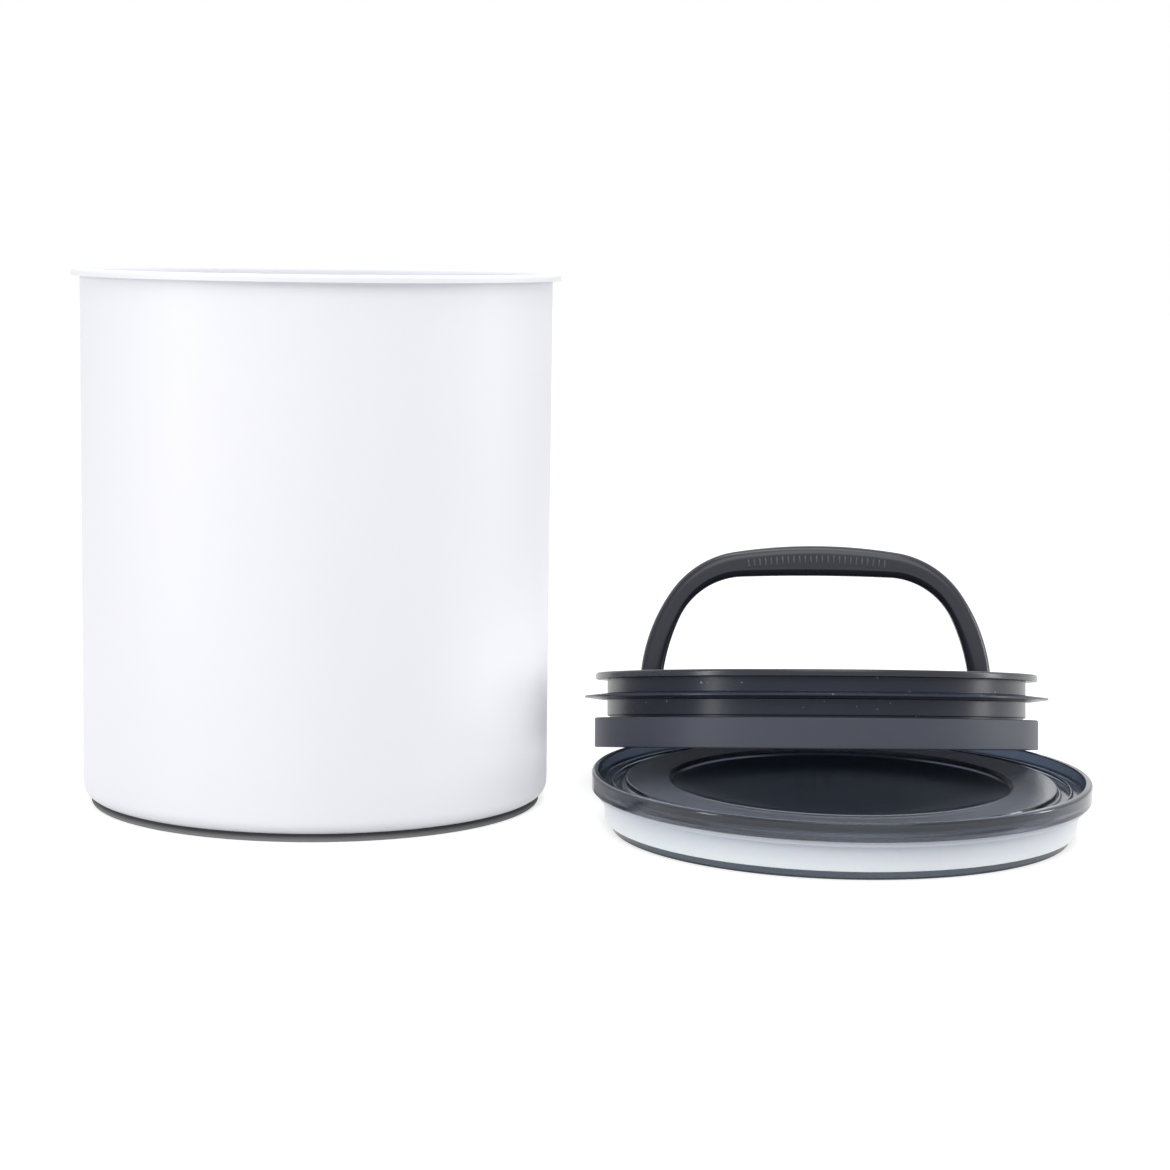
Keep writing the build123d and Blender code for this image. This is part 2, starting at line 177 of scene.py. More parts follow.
def linear(code):
    """A colour written as six hexadecimal digits, as the renderer's linear values."""
    shares = [int(code[i:i + 2], 16) / 255 for i in (0, 2, 4)]
    return [s / 12.92 if s <= 0.04045 else ((s + 0.055) / 1.055) ** 2.4 for s in shares]


def tone(name, code, description):
    return FloatVectorProperty(
        name=name, description=description, default=linear(code), subtype="COLOR", min=0, max=1
    )


# Sizes and colours that a user may change
class ShellSizes(PropertyGroup):
    rim_radius: measured("Rim radius", half_width("canister_shell"), "Outside of the rim")
    height: measured("Height", top_of("canister_shell"), "From the table to the rim")
    wall: size("Wall", 0.7, "Thickness of the drawn steel")
    corner: size("Corner", 4.5, "Rounding of the bottom corner")
    base: size("Base", 2.7, "Height of the steel base above the table")
    panel: size("Panel", 62.0, "Radius of the raised panel in the base")
    panel_rise: size("Panel rise", 1.5, "How far the panel is pressed upwards")
    panel_slope: size("Panel slope", 3.0, "Width of the slope round the panel")
    panel_round: size("Panel rounding", 1.2, "Rounding of the slope's two bends")
    flare: size("Flare", 1.4, "Bend of the rim outwards")
    flat: size("Flat", 0.4, "Flat width on the rim")
    curl: size("Curl", 0.6, "Bend of the rim downwards")
    hem: size("Hem", 2.7, "Depth of the rim from its top")
    foot_inner: size("Foot bore", 70.0, "Inside radius of the rubber foot")
    foot_round: size("Foot rounding", 0.6, "Rounding of the foot's lower edges")


class CoverSizes(PropertyGroup):
    radius: measured("Radius", half_width("outer_lid"), "Outside of the outer lid's rim")
    height: measured("Height", top_of("outer_lid"), "From the table to the rim's top")
    wall: size("Wall", 2.0, "Thickness of the moulded top")
    flange: size("Flange", 1.3, "Thickness left under the trough")
    rim: size("Rim", 2.5, "Width of the rim")
    rim_round: size("Rim rounding", 1.0, "Rounding of the rim's outer edge")
    edge: size("Edge", 0.5, "Rounding of the larger edges")
    fine: size("Fine edge", 0.3, "Rounding and draught of the small steps")
    ledge: size("Ledge", 1.7, "Width of the ledge inside the rim")
    ledge_drop: size("Ledge drop", 3.6, "From the rim's top to the ledge")
    step: size("Step", 2.6, "Width of the step inside the ledge")
    step_fall: size("Step fall", 0.6, "From the ledge to the step")
    bead: size("Bead", 0.9, "Width of the bead")
    bead_rise: size("Bead rise", 1.0, "Height of the bead above the step")
    trough: size("Trough", 3.0, "Width of the trough")
    trough_fall: size("Trough fall", 1.0, "From the step to the trough")
    curb: size("Curb", 0.9, "Width of the curb inside the trough")
    curb_rise: size("Curb rise", 1.0, "Height of the curb above the trough")
    flank: size("Flank", 0.7, "Width of the slope up to the plateau")
    plateau: size("Plateau", 15.1, "Width of the plateau")
    plateau_drop: size("Plateau drop", 2.5, "From the rim's top to the plateau")
    lip: size("Lip", 1.4, "Width of the slope at the plateau's inner edge")
    lip_fall: size("Lip fall", 1.4, "From the plateau to the slope's foot")
    slope: size("Dish slope", 13.1, "Width of the slope down to the dish's floor")
    dish_fall: size("Dish fall", 3.3, "From the slope's top to the dish's floor")
    plug: size("Plug", 80.6, "Outside radius of the plug wall's foot")
    plug_wall: size("Plug wall", 2.4, "Thickness of the plug wall")
    groove: size("Groove", 1.0, "Depth of the groove that holds the gasket")
    foot: size("Plug foot", 3.0, "Height of the plug wall below the gasket")
    dish_round: size("Dish rounding", 90.0, "Rounding between the dish's slope and its floor")
    satin: amount("Satin", 0.2, "Roughness of the satin ring on the plateau")


class GasketSizes(PropertyGroup):
    lip: measured("Lip", half_width("outer_lid_gasket"), "Outside radius of the lip under the rim")
    lip_height: size("Lip height", 1.9, "Thickness of the lip")
    skirt: size("Skirt", 83.8, "Outside radius of the hanging skirt")
    draw: size("Draw-in", 0.9, "How far the skirt's foot draws in")
    skirt_wall: size("Skirt wall", 1.5, "Thickness of the skirt at its root")
    sleeve_wall: size("Sleeve wall", 1.3, "Thickness of the sleeve against the plug")
    tip_rise: size("Tip rise", 0.15, "Gap between the skirt's tip and the plug's foot")


class LidSizes(PropertyGroup):
    skirt: size("Skirt", 83.7, "Outside radius of the skirt")
    skirt_height: size("Skirt height", 11.2, "Height of the skirt")
    skirt_wall: size("Skirt wall", 1.5, "Thickness of the skirt")
    skirt_round: size("Skirt rounding", 0.6, "Rounding of the skirt's edges")
    plate: size("Base plate", 2.0, "Thickness of the base plate")
    vent_plate: size("Vent plate", 1.0, "Thickness of the plate round the vents")
    vent_field: size("Vent field", 11.0, "Radius of the thinner plate")
    vent: size("Vent", 1.2, "Radius of one vent hole")
    vent_ring: size("Vent ring", 6.5, "Radius of the ring of vent holes")
    vents: count("Vents", 8, "Vent holes in the ring")
    spigot_wall: size("Spigot wall", 2.0, "Thickness of the ring inside the well")
    spigot_height: size("Spigot height", 2.3, "Height of the ring inside the well")
    spigot_gap: size("Spigot gap", 0.06, "Clearance between the ring and the well")
    flange: size("Flange", 83.4, "Outside radius of the flange")
    flange_thick: size("Flange thickness", 2.6, "Thickness of the flange")
    edge: size("Edge", 0.9, "Rounding of the flange and the boss")
    fine: size("Fine edge", 0.3, "Rounding of small edges")
    height: size("Height", 28.2, "From the skirt's edge to the flange's top")
    well: size("Well", 73.6, "Inside radius of the well")
    well_wall: size("Well wall", 2.4, "Thickness of the well's wall")
    well_floor: size("Well floor", 15.6, "Height of the well's floor")
    well_under: size("Well underside", 13.6, "Height of the well's underside")
    well_round: size("Well rounding", 1.6, "Rounding where wall and floor meet")
    boss: size("Boss", 14.0, "Radius of the valve's boss")
    boss_wall: size("Boss wall", 1.6, "Thickness of the boss's wall")
    deck_top: size("Deck", 20.7, "Height of the boss's top")
    deck_under: size("Deck underside", 19.1, "Height of the boss's inner roof")
    seat: size("Seat", 8.0, "Outside radius of the valve's seat")
    seat_width: size("Seat width", 0.9, "Width of the seat's lip")
    seat_height: size("Seat height", 0.4, "Height of the seat's lip")
    deck_hole: size("Deck hole", 1.3, "Radius of one hole in the boss")
    deck_ring: size("Deck ring", 5.0, "Radius of the ring of holes in the boss")
    deck_holes: count("Deck holes", 6, "Holes in the boss")
    stem_bore: size("Stem bore", 1.56, "Radius of the hole for the stem")
    lug_width: size("Lug width", 11.0, "Width of a pivot lug")
    lug_face: size("Lug face", 67.05, "From the centre to a lug's inner face")
    lug_round: size("Lug rounding", 2.0, "Rounding of a lug's upper corners")
    guide_place: size("Guide place", 40.0, "From the centre to a guide rib")
    guide_length: size("Guide length", 9.0, "Length of a guide rib")
    guide_thick: size("Guide thickness", 1.8, "Thickness of a guide rib")
    guide_out: size("Guide offset", 5.45, "From the bridge's middle to a guide rib's")
    guide_top: size("Guide top", 24.8, "Height of a guide rib's top")


class WiperSizes(PropertyGroup):
    wall: size("Sleeve wall", 3.0, "Thickness of the silicone sleeve")
    relief: size("Relief", 0.9, "Depth of the step at the sleeve's foot")
    relief_height: size("Relief height", 0.7, "Height of that step")
    fin: size("Fin", 87.55, "Radius of the wiping fin")
    root: size("Fin root", 17.8, "Height of the fin's root")
    root_thick: size("Root thickness", 2.6, "Thickness of the fin at its root")
    waist_thick: size("Waist thickness", 2.2, "Thickness of the fin at its waist")
    tip_thick: size("Tip thickness", 0.75, "Thickness of the fin at its tip")


class HandleSizes(PropertyGroup):
    span: size("Span", 66.7, "From the centre to a leg's outside")
    height: size("Height", 77.0, "From the skirt's edge to the crown")
    pivot: size("Pivot", 20.5, "Height of the pivots")
    depth: size("Depth", 8.0, "Depth of the handle from front to back")
    edge: size("Edge", 3.2, "Rounding of the handle's long edges")
    leg: size("Leg", 8.1, "Width of a leg at its foot")
    crown: size("Crown", 11.4, "Height of the crown's section")
    start: size("Leg arc start", 22.05, "Height at which the outside starts to curve")
    inner_start: size("Inner arc start", 17.71, "Height at which the inside starts to curve")
    corner: size("Corner", 36.1, "Outside radius of the corners")
    inner_corner: size("Inner corner", 27.1, "Inside radius of the corners")
    leg_turn: turn("Leg turn", 35.0, "Turn of the leg's outside arc")
    crown_turn: turn("Crown turn", 9.0, "Turn of half the crown's top")
    inner_leg_turn: turn("Inner leg turn", 24.7, "Turn of the leg's inside arc")
    inner_crown_turn: turn("Inner crown turn", 2.2, "Turn of half the crown's underside")
    cam: size("Cam", 3.2, "Radius of the cam that lifts the valve")
    cam_width: size("Cam width", 3.4, "Width of the cam")
    cam_rise: size("Cam offset", 1.25, "Offset of the cam, upwards and backwards")
    ticks: count("Ticks", 25, "Raised grip marks on the crown")
    tick_pitch: size("Tick pitch", 2.15, "Distance between two grip marks")
    tick_width: size("Tick width", 1.0, "Width of one grip mark")
    tick_height: size("Tick height", 3.4, "Height of one grip mark")
    tick_proud: size("Tick relief", 0.4, "How far a grip mark stands proud")
    tick_drop: size("Tick drop", 5.4, "From the crown's top to the marks' middle")


class BridgeSizes(PropertyGroup):
    under: size("Underside", 25.15, "Height of the bridge's underside")
    thick: size("Thickness", 2.4, "Thickness of the bridge")
    width: size("Width", 8.4, "Width of the bridge")
    reach: size("Reach", 57.5, "From the centre to the bridge's end")
    pad: size("Pad", 9.4, "Radius of the round pad at the centre")
    edge: size("Edge", 0.6, "Rounding of the upper edges")
    head: size("Stem head", 2.7, "Radius of the recess for the stem's head")
    head_depth: size("Head depth", 0.9, "Depth of that recess")


class Tones(PropertyGroup):
    paint: tone("Paint", "F4F3FA", "Powder coat on the steel")
    paint_deep: tone("Paint, deeper", "EFF1F5", "Powder coat where it is a little thinner")
    foot: tone("Foot", "2C2C2E", "Rubber foot")
    # The lighter tone on the foot's lower edge is painted light from the floor
    foot_painted_light: tone("Foot painted light", "9A9A9C", "Dust on the rubber foot")
    smoke: tone("Smoke", "868FA0", "Tint of the smoked plastic")
    smoke_cloud: tone("Smoke, cloud", "7E8797", "Tint of the smoked plastic's faint clouds")
    # Painted shade: a deeper tint in the dish and on the plug's foot, where shade falls under the lid
    dish: tone("Dish", "505865", "Tint of the smoked plastic in the dish and the plug's foot")
    # Painted reflection: a lighter tint on the plateau's satin ring
    satin: tone("Satin ring", "C0C6D1", "Tint of the satin ring on the outer lid's plateau")
    # Painted shade: a deeper tint round the ledge inside the rim
    rim_painted_shade: tone("Rim, inside", "232B38", "Tint of the smoked plastic round the ledge in the rim")
    silicone: tone("Clear silicone", "CBD1DA", "Milky silicone of the outer gasket")
    # Painted shade under the lip fades to this lighter tone towards the skirt's foot
    silicone_painted_light: tone("Clear silicone, lighter", "F7F9FD", "Its tone where it thins towards the foot")
    charcoal: tone("Charcoal", "1B1F2A", "Moulded plastic of the handle and the lid")
    charcoal_light: tone("Charcoal, lighter", "232733", "Its lighter tone")
    # Painted highlight: the grip marks are tinted lighter for the light on their raised edges
    painted_highlight: tone("Charcoal, rubbed", "5C606B", "Grip marks, rubbed lighter by hands")
    wiper: tone("Wiper", "292E3F", "Dark silicone of the wiper")
    wiper_dust: tone("Wiper dust", "8C8F9C", "Dust specks that cling to the silicone")
    base: tone("Lid base", "424552", "Matt plastic of the lid's base")
    base_light: tone("Lid base, lighter", "4A4D5A", "Its lighter tone")
    steel: tone("Steel", "C4C4C8", "Drawn stainless wire and pins")
    steel_deep: tone("Steel, deeper", "A2A2A8", "Its deeper tone")
    floor: tone("Floor", "D2D2D2", "Pale floor")


class StageSettings(PropertyGroup):
    camera_x: size("Camera X", 98.208, "Camera place to the right of the canister's axis")
    camera_back: size("Camera distance", 1061.63, "Camera place in front of the canister's axis")
    camera_z: size("Camera height", 212.677, "Camera height above the floor")
    pitch: turn("Pitch", 7.13, "How far the camera looks down")
    roll: turn("Roll", 0.81, "How far the camera leans")
    lens: FloatProperty(
        name="Lens", description="Focal length for a 36 mm sensor", default=89.81, unit="CAMERA"
    )
    floor_size: size("Floor size", 12000.0, "Side of the floor")
    ambient: amount("Ambient", 0.66, "Strength of the light from all round")
    key: amount("Key", 1.8, "Brightness of the main softbox, white being 1")
    left: amount("Left", 7.5, "Brightness of the left softbox, white being 1")
    right: amount("Right", 9.0, "Brightness of the right softbox, white being 1")
    top: amount("Top", 2.9, "Brightness of the softbox overhead, white being 1")
    card: amount("Card", 2.1, "Brightness of the card that only the body sees")
    veil: amount("Veil", 0.64, "White that the camera sees added to the floor")


# Frames of reference
def joint(name):
    return next(j for j in frame["joints"] if j["name"] == name)


def lid_place():
    """From the inner lid's own frame, upright on its skirt, to where it leans."""
    hinge = joint("handle_fold")
    up = Vector(joint("valve_travel")["axis"]).normalized()
    across = -Vector(hinge["axis"]).normalized()
    place = Matrix((across, up.cross(across), up)).transposed().to_4x4()
    place.translation = Vector(hinge["pos_m"]) - up * bpy.context.scene.canister_handle.pivot
    return place


def cover_place():
    low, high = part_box("outer_lid")
    return Matrix.Translation(((low.x + high.x) / 2, (low.y + high.y) / 2, 0))


def along_x(start, y, z):
    """Lays a piece turned about its own axis along X, from a starting place."""
    return Matrix.Translation((start, y, z)) @ Matrix.Rotation(math.pi / 2, 4, "Y")


# Outlines and meshes
def corner_reach(corners, index):
    """How far a corner's rounding reaches along its two edges, and the turn that it makes."""
    here = Vector(corners[index][:2])
    before = Vector(corners[index - 1][:2]) - here
    after = Vector(corners[(index + 1) % len(corners)][:2]) - here
    bend = math.pi - before.angle(after)
    return corners[index][2] * math.tan(bend / 2), bend, before, after


def rounded(corners, closed=True):
    """Points of an outline whose corners are each two places and a rounding, with arcs."""
    last = len(corners) - 1
    ends = () if closed else (0, last)
    reaches = [0 if i in ends else corner_reach(corners, i)[0] for i in range(last + 1)]
    points = []
    for index, corner in enumerate(corners):
        here = Vector(corner[:2])
        if reaches[index] == 0:
            points.append(here)
            continue
        reach, bend, before, after = corner_reach(corners, index)
        slack_before = before.length - reach - reaches[index - 1]
        slack_after = after.length - reach - reaches[(index + 1) % len(corners)]
        before.normalize()
        after.normalize()
        start = here + before * reach
        centre = here + (before + after).normalized() * corner[2] / math.cos(bend / 2)
        side = 1 if before.cross(after) < 0 else -1
        steps = max(2, math.ceil(bend / ARC_STEP))
        points.append(start + before * min(corner[2] * LEAD_SHARE, slack_before / 3))
        for step in range(steps + 1):
            spun = Matrix.Rotation(side * bend * step / steps, 2) @ (start - centre)
            points.append(centre + spun)
        end = here + after * reach
        points.append(end + after * min(corner[2] * LEAD_SHARE, slack_after / 3))
    return points


def new_tree(name, inputs):
    """A Geometry Nodes tree with a geometry in and out, and its inputs' sockets by name."""
    tree = bpy.data.node_groups.new(name, "GeometryNodeTree")
    tree.interface.new_socket("Geometry", in_out="INPUT", socket_type="NodeSocketGeometry")
    tree.interface.new_socket("Geometry", in_out="OUTPUT", socket_type="NodeSocketGeometry")
    for label, kind in inputs.items():
        tree.interface.new_socket(label, in_out="INPUT", socket_type="NodeSocket" + kind)
    return tree, tree.nodes.new("NodeGroupInput").outputs


def node(tree, kind, links=(), **settings):
    """A node of a tree with its own settings and the sockets that feed it."""
    made = tree.nodes.new(kind)
    for key, value in settings.items():
        setattr(made, key, value)
    for label, source in dict(links).items():
        socket = made.inputs[label]
        if isinstance(source, bpy.types.NodeSocket):
            tree.links.new(source, socket)
        else:
            socket.default_value = source
    return made


def first(tree, kind, links=(), **settings):
    """The first output of a new node."""
    return node(tree, kind, links, **settings).outputs[0]


def maths(tree, operation, *values):
    """The result of one step of arithmetic on sockets and numbers."""
    return first(tree, "ShaderNodeMath", dict(enumerate(values)), operation=operation)


def close_tree(tree, geometry, material):
    """Ends a tree in real geometry with its material."""
    real = first(tree, "GeometryNodeRealizeInstances", {"Geometry": geometry})
    dressed = first(tree, "GeometryNodeSetMaterial", {"Geometry": real, "Material": material})
    node(tree, "NodeGroupOutput", {"Geometry": dressed})
    return tree


def turning_tree(name):
    """Turns an outline about the upright axis, as on a lathe."""
    tree, given = new_tree(name, {"Segments": "Int", "Core": "Float", "Material": "Material"})
    outline = first(tree, "GeometryNodeMeshToCurve", {"Mesh": given["Geometry"]})
    circle = {"Resolution": given["Segments"], "Radius": given["Core"]}
    ring = first(tree, "GeometryNodeCurvePrimitiveCircle", circle)
    upright = first(tree, "GeometryNodeSetCurveNormal", {"Curve": ring}, mode="Z_UP")
    swept = first(tree, "GeometryNodeCurveToMesh", {"Curve": upright, "Profile Curve": outline})
    welded = first(tree, "GeometryNodeMergeByDistance", {"Geometry": swept, "Distance": WELD})
    return close_tree(tree, welded, given["Material"])


def drilling_tree(name):
    """Drills a ring of holes round the upright axis."""
    sizes = dict.fromkeys(("Ring radius", "Hole radius", "Height", "Depth"), "Float")
    tree, given = new_tree(name, {"Holes": "Int", **sizes, "Material": "Material"})
    circle = {"Vertices": given["Holes"], "Radius": given["Ring radius"]}
    places = first(tree, "GeometryNodeMeshCircle", circle)
    bit = {"Vertices": DRILL_SIDES, "Radius": given["Hole radius"], "Depth": given["Depth"]}
    drill = first(tree, "GeometryNodeMeshCylinder", bit)
    ring = first(tree, "GeometryNodeInstanceOnPoints", {"Points": places, "Instance": drill})
    lift = first(tree, "ShaderNodeCombineXYZ", {"Z": given["Height"]})
    raised = first(tree, "GeometryNodeTransform", {"Geometry": ring, "Translation": lift})
    real = first(tree, "GeometryNodeRealizeInstances", {"Geometry": raised})
    pair = {"Mesh 1": given["Geometry"], "Mesh 2": real}
    cut = first(tree, "GeometryNodeMeshBoolean", pair, operation="DIFFERENCE", solver="MANIFOLD")
    return close_tree(tree, cut, given["Material"])


def tick_tree(name):
    """Lays raised, rounded bars side by side along an arc, upright in the XZ plane."""
    inputs = {
        "Marks": "Int",
        "Turn between": "Float",
        "Arc radius": "Float",
        "Arc centre": "Vector",
        "Bar": "Vector",
        "Material": "Material",
    }
    tree, given = new_tree(name, inputs)
    points = first(tree, "GeometryNodePoints", {"Count": given["Marks"]})
    index = first(tree, "GeometryNodeInputIndex")
    half = maths(tree, "DIVIDE", maths(tree, "SUBTRACT", given["Marks"], 1.0), 2.0)
    angle = maths(tree, "MULTIPLY", maths(tree, "SUBTRACT", index, half), given["Turn between"])
    sine = maths(tree, "SINE", angle)
    cosine = maths(tree, "COSINE", angle)
    across = first(tree, "ShaderNodeCombineXYZ", {"X": sine, "Z": cosine})
    reach = {0: across, "Scale": given["Arc radius"]}
    scaled = first(tree, "ShaderNodeVectorMath", reach, operation="SCALE")
    shift = {0: scaled, 1: given["Arc centre"]}
    spot = first(tree, "ShaderNodeVectorMath", shift, operation="ADD")
    placed = first(tree, "GeometryNodeSetPosition", {"Geometry": points, "Position": spot})
    lean = first(tree, "ShaderNodeCombineXYZ", {"Y": angle})
    mark = {"Segments": MARK_SIDES, "Rings": MARK_RINGS, "Radius": 0.5}
    bead = first(tree, "GeometryNodeMeshUVSphere", mark)
    row = {"Points": placed, "Instance": bead, "Rotation": lean, "Scale": given["Bar"]}
    bars = first(tree, "GeometryNodeInstanceOnPoints", row)
    return close_tree(tree, bars, given["Material"])


def grown(name, build, mesh, values):
    """The mesh that a tree, built when first asked for, makes from a mesh and its named inputs."""
    tree = bpy.data.node_groups.get(name) or build(name)
    source = bpy.data.objects.new("source", mesh)
    bpy.context.scene.collection.objects.link(source)
    modifier = source.modifiers.new("Nodes", "NODES")
    modifier.node_group = tree
    for item in tree.interface.items_tree:
        if item.in_out == "INPUT" and item.name in values:
            modifier[item.identifier] = values[item.name]
    depsgraph = bpy.context.evaluated_depsgraph_get()
    made = bpy.data.meshes.new_from_object(source.evaluated_get(depsgraph))
    source.modifiers.remove(modifier)
    bpy.data.objects.remove(source)
    bpy.data.meshes.remove(mesh)
    return made


def turned(corners, material, closed=True, segments=LATHE_STEPS):
    """A lathe-turned mesh about the upright axis; each corner is a radius, a height and a rounding."""
    outline = rounded(corners, closed)
    ends = [(i, i + 1) for i in range(len(outline) - 1)]
    if closed:
        ends.append((len(outline) - 1, 0))
    mesh = bpy.data.meshes.new("outline")
    mesh.from_pydata([(r - TURN_CORE, -h, 0) for r, h in outline], ends, [])
    values = {"Segments": segments, "Core": TURN_CORE, "Material": material}
    return grown("Turned piece", turning_tree, mesh, values)


def drilled(mesh, material, holes, ring, radius, height, depth):
    """A mesh with a ring of upright holes, drilled half the depth up and down from a height."""
    values = {"Holes": holes, "Ring radius": ring, "Hole radius": radius}
    values |= {"Height": height, "Depth": depth, "Material": material}
    return grown("Ring of holes", drilling_tree, mesh, values)


def raised_block(low, high, edge):
    """A block between two corners with its upper edges rounded."""
    mesh = bpy.data.meshes.new("block")
    shape = bmesh.new()
    bmesh.ops.create_cube(shape, size=1)
    middle = (Vector(low) + Vector(high)) / 2
    extent = Vector(high) - Vector(low)
    place = Matrix.Translation(middle) @ Matrix.Diagonal((*extent, 1))
    bmesh.ops.transform(shape, matrix=place, verts=shape.verts)
    upper = [e for e in shape.edges if sum(v.co.z for v in e.verts) / 2 > middle.z - extent.z / 4]
    bmesh.ops.bevel(
        shape, geom=upper, offset=edge, segments=BEVEL_STEPS, affect="EDGES", profile=0.5
    )
    shape.to_mesh(mesh)
    shape.free()
    return mesh


def lofted(rings):
    """A closed mesh through rings of points of equal length; a ring of one point is a tip."""
    shape = bmesh.new()
    loops = [[shape.verts.new(point) for point in ring] for ring in rings]
    for loop, after in zip(loops, loops[1:]):
        for i in range(max(len(loop), len(after))):
            corners = ((loop, i), (loop, i + 1), (after, i + 1), (after, i))
            shape.faces.new(dict.fromkeys(ring[at % len(ring)] for ring, at in corners))
    for end in (loops[0], loops[-1]):
        if len(end) > 1:
            shape.faces.new(end)
    mesh = bpy.data.meshes.new("loft")
    shape.to_mesh(mesh)
    shape.free()
    return mesh


def joined(parts):
    """One mesh from several, each with its own place."""
    whole = bmesh.new()
    for mesh, place in parts:
        copy = mesh.copy()
        copy.transform(place)
        whole.from_mesh(copy)
        bpy.data.meshes.remove(copy)
    made = bpy.data.meshes.new("joined")
    whole.to_mesh(made)
    whole.free()
    return made


def install(name, mesh, material, place, body, slot, *nodes):
    """Makes the finished piece: placed mesh, faces outwards, finish, body and CAD nodes. The slot is not
    used.
    """
    mesh.transform(place)
    shape = bmesh.new()
    shape.from_mesh(mesh)
    bmesh.ops.remove_doubles(shape, verts=shape.verts, dist=WELD)
    bmesh.ops.recalc_face_normals(shape, faces=shape.faces)
    for face in shape.faces:
        face.smooth = True
        face.material_index = 0
    shape.to_mesh(mesh)
    shape.free()
    mesh.set_sharp_from_angle(angle=SHARP_ANGLE)
    mesh.materials.clear()
    mesh.materials.append(material)
    mesh.name = name
    piece = bpy.data.objects.new(name, mesh)
    bpy.context.scene.collection.objects.link(piece)
    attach(piece, body)
    if nodes:
        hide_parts(*nodes)
    return piece


# Finishes
def object_place(tree):
    return node(tree, "ShaderNodeTexCoord").outputs["Object"]


def height_of(tree, place):
    return node(tree, "ShaderNodeSeparateXYZ", {0: place}).outputs["Z"]


def blended(tree, share, low, high):
    """Mixes two tones by a share; the first may come from another node."""
    if not isinstance(low, bpy.types.NodeSocket):
        low = (*low, 1)
    links = {0: share, COLOUR_A: low, COLOUR_B: (*high, 1)}
    return node(tree, "ShaderNodeMix", links, data_type="RGBA")


def finish(name):
    """A surface of two near tones in soft clouds, with a fine grain in its relief and its gloss."""
    found = bpy.data.materials.get(name)
    if found:
        return found
    low, high, cloud, grain, relief, rough, sockets = FINISHES[name]
    tones = bpy.context.scene.canister_tones
    material = bpy.data.materials.new(name)
    material.use_nodes = True
    tree = material.node_tree
    shader = tree.nodes["Principled BSDF"]
    noise = {"Vector": object_place(tree), "Scale": cloud, "Detail": CLOUD_DETAIL}
    clouds = first(tree, "ShaderNodeTexNoise", noise)
    mix = blended(tree, clouds, getattr(tones, low), getattr(tones, high))
    mix.name = "Tones"
    noise |= {"Scale": grain, "Detail": GRAIN_DETAIL}
    grains = first(tree, "ShaderNodeTexNoise", noise)
    span = {"Value": clouds, "To Min": rough[0], "To Max": rough[1]}
    gloss = node(tree, "ShaderNodeMapRange", span)
    gloss.name = "Gloss"
    bump = first(tree, "ShaderNodeBump", {"Height": grains, "Strength": 1.0, "Distance": relief})
    tree.links.new(mix.outputs[COLOUR_RESULT], shader.inputs["Base Color"])
    tree.links.new(gloss.outputs[0], shader.inputs["Roughness"])
    tree.links.new(bump, shader.inputs["Normal"])
    for label, value in sockets.items():
        shader.inputs[label].default_value = value
    return material


def lighter_below(material, high, low):
    """Passes from a finish's first tone to its second between two heights, which paints light and shade by
    height.
    """
    tree = material.node_tree
    height = height_of(tree, object_place(tree))
    share = first(tree, "ShaderNodeMapRange", {"Value": height, "From Min": high, "From Max": low})
    tree.links.new(share, tree.nodes["Tones"].inputs[0])
    return material


def foot_rubber():
    """Dark rubber, painted lighter towards the table as painted light from the floor."""
    return lighter_below(finish("Foot rubber"), FOOT_PAINTED_LIGHT_HEIGHT, 0.0)


def smoked_plastic(cover, centre, inner, outer, ledge, crest):
    """Clear plastic with a smoke tint, with painted shade as a deeper tint in the dish, on the plug's foot
    and round the rim's ledge, and a satin ring between that is rougher and tinted lighter as painted
    reflection.
    """
    tones = bpy.context.scene.canister_tones
    material = finish("Smoked plastic")
    tree = material.node_tree
    place = object_place(tree)
    level = height_of(tree, place)
    upright = {0: place, 1: (1.0, 1.0, 0.0)}
    flat = first(tree, "ShaderNodeVectorMath", upright, operation="MULTIPLY")
    ends = {0: flat, 1: (centre.x, centre.y, 0.0)}
    away = node(tree, "ShaderNodeVectorMath", ends, operation="DISTANCE").outputs["Value"]
    ring = maths(tree, "COMPARE", away, (inner + outer) / 2, (outer - inner) / 2)
    above = maths(tree, "GREATER_THAN", level, cover.height - cover.plateau_drop - cover.wall / 2)
    # The satin ring is rougher, and below it is also tinted lighter as a painted reflection
    satin = maths(tree, "MULTIPLY", ring, above)
    polish = {"Factor": satin, "A": tree.nodes["Gloss"].outputs[0], "B": cover.satin}
    shader = tree.nodes["Principled BSDF"]
    tree.links.new(first(tree, "ShaderNodeMix", polish), shader.inputs["Roughness"])
    # Painted shade in the dish and on the plug's foot
    within = maths(tree, "LESS_THAN", away, inner)
    dish = maths(tree, "MAXIMUM", within, maths(tree, "LESS_THAN", level, cover.foot))
    # Painted shade round the ledge inside the rim
    beside = maths(tree, "COMPARE", away, (ledge + crest) / 2, (crest - ledge) / 2 + cover.fine)
    over = maths(tree, "GREATER_THAN", level, cover.height - cover.ledge_drop - cover.fine)
    rim = maths(tree, "MULTIPLY", beside, over)
    # Deeper tints as painted shade in the dish, on the plug's foot and round the rim's ledge, and a lighter
    # tint as painted reflection on the satin ring
    tint = tree.nodes["Tones"].outputs[COLOUR_RESULT]
    for zone, tone_there in ((dish, tones.dish), (satin, tones.satin), (rim, tones.rim_painted_shade)):
        tint = blended(tree, zone, tint, tone_there).outputs[COLOUR_RESULT]
    tree.links.new(tint, shader.inputs["Base Color"])
    return material


def clear_silicone(high, low):
    """Milky silicone that lets light into it, darker under the lip as painted shade and lighter towards its
    foot.
    """
    return lighter_below(finish("Clear silicone"), high, low)


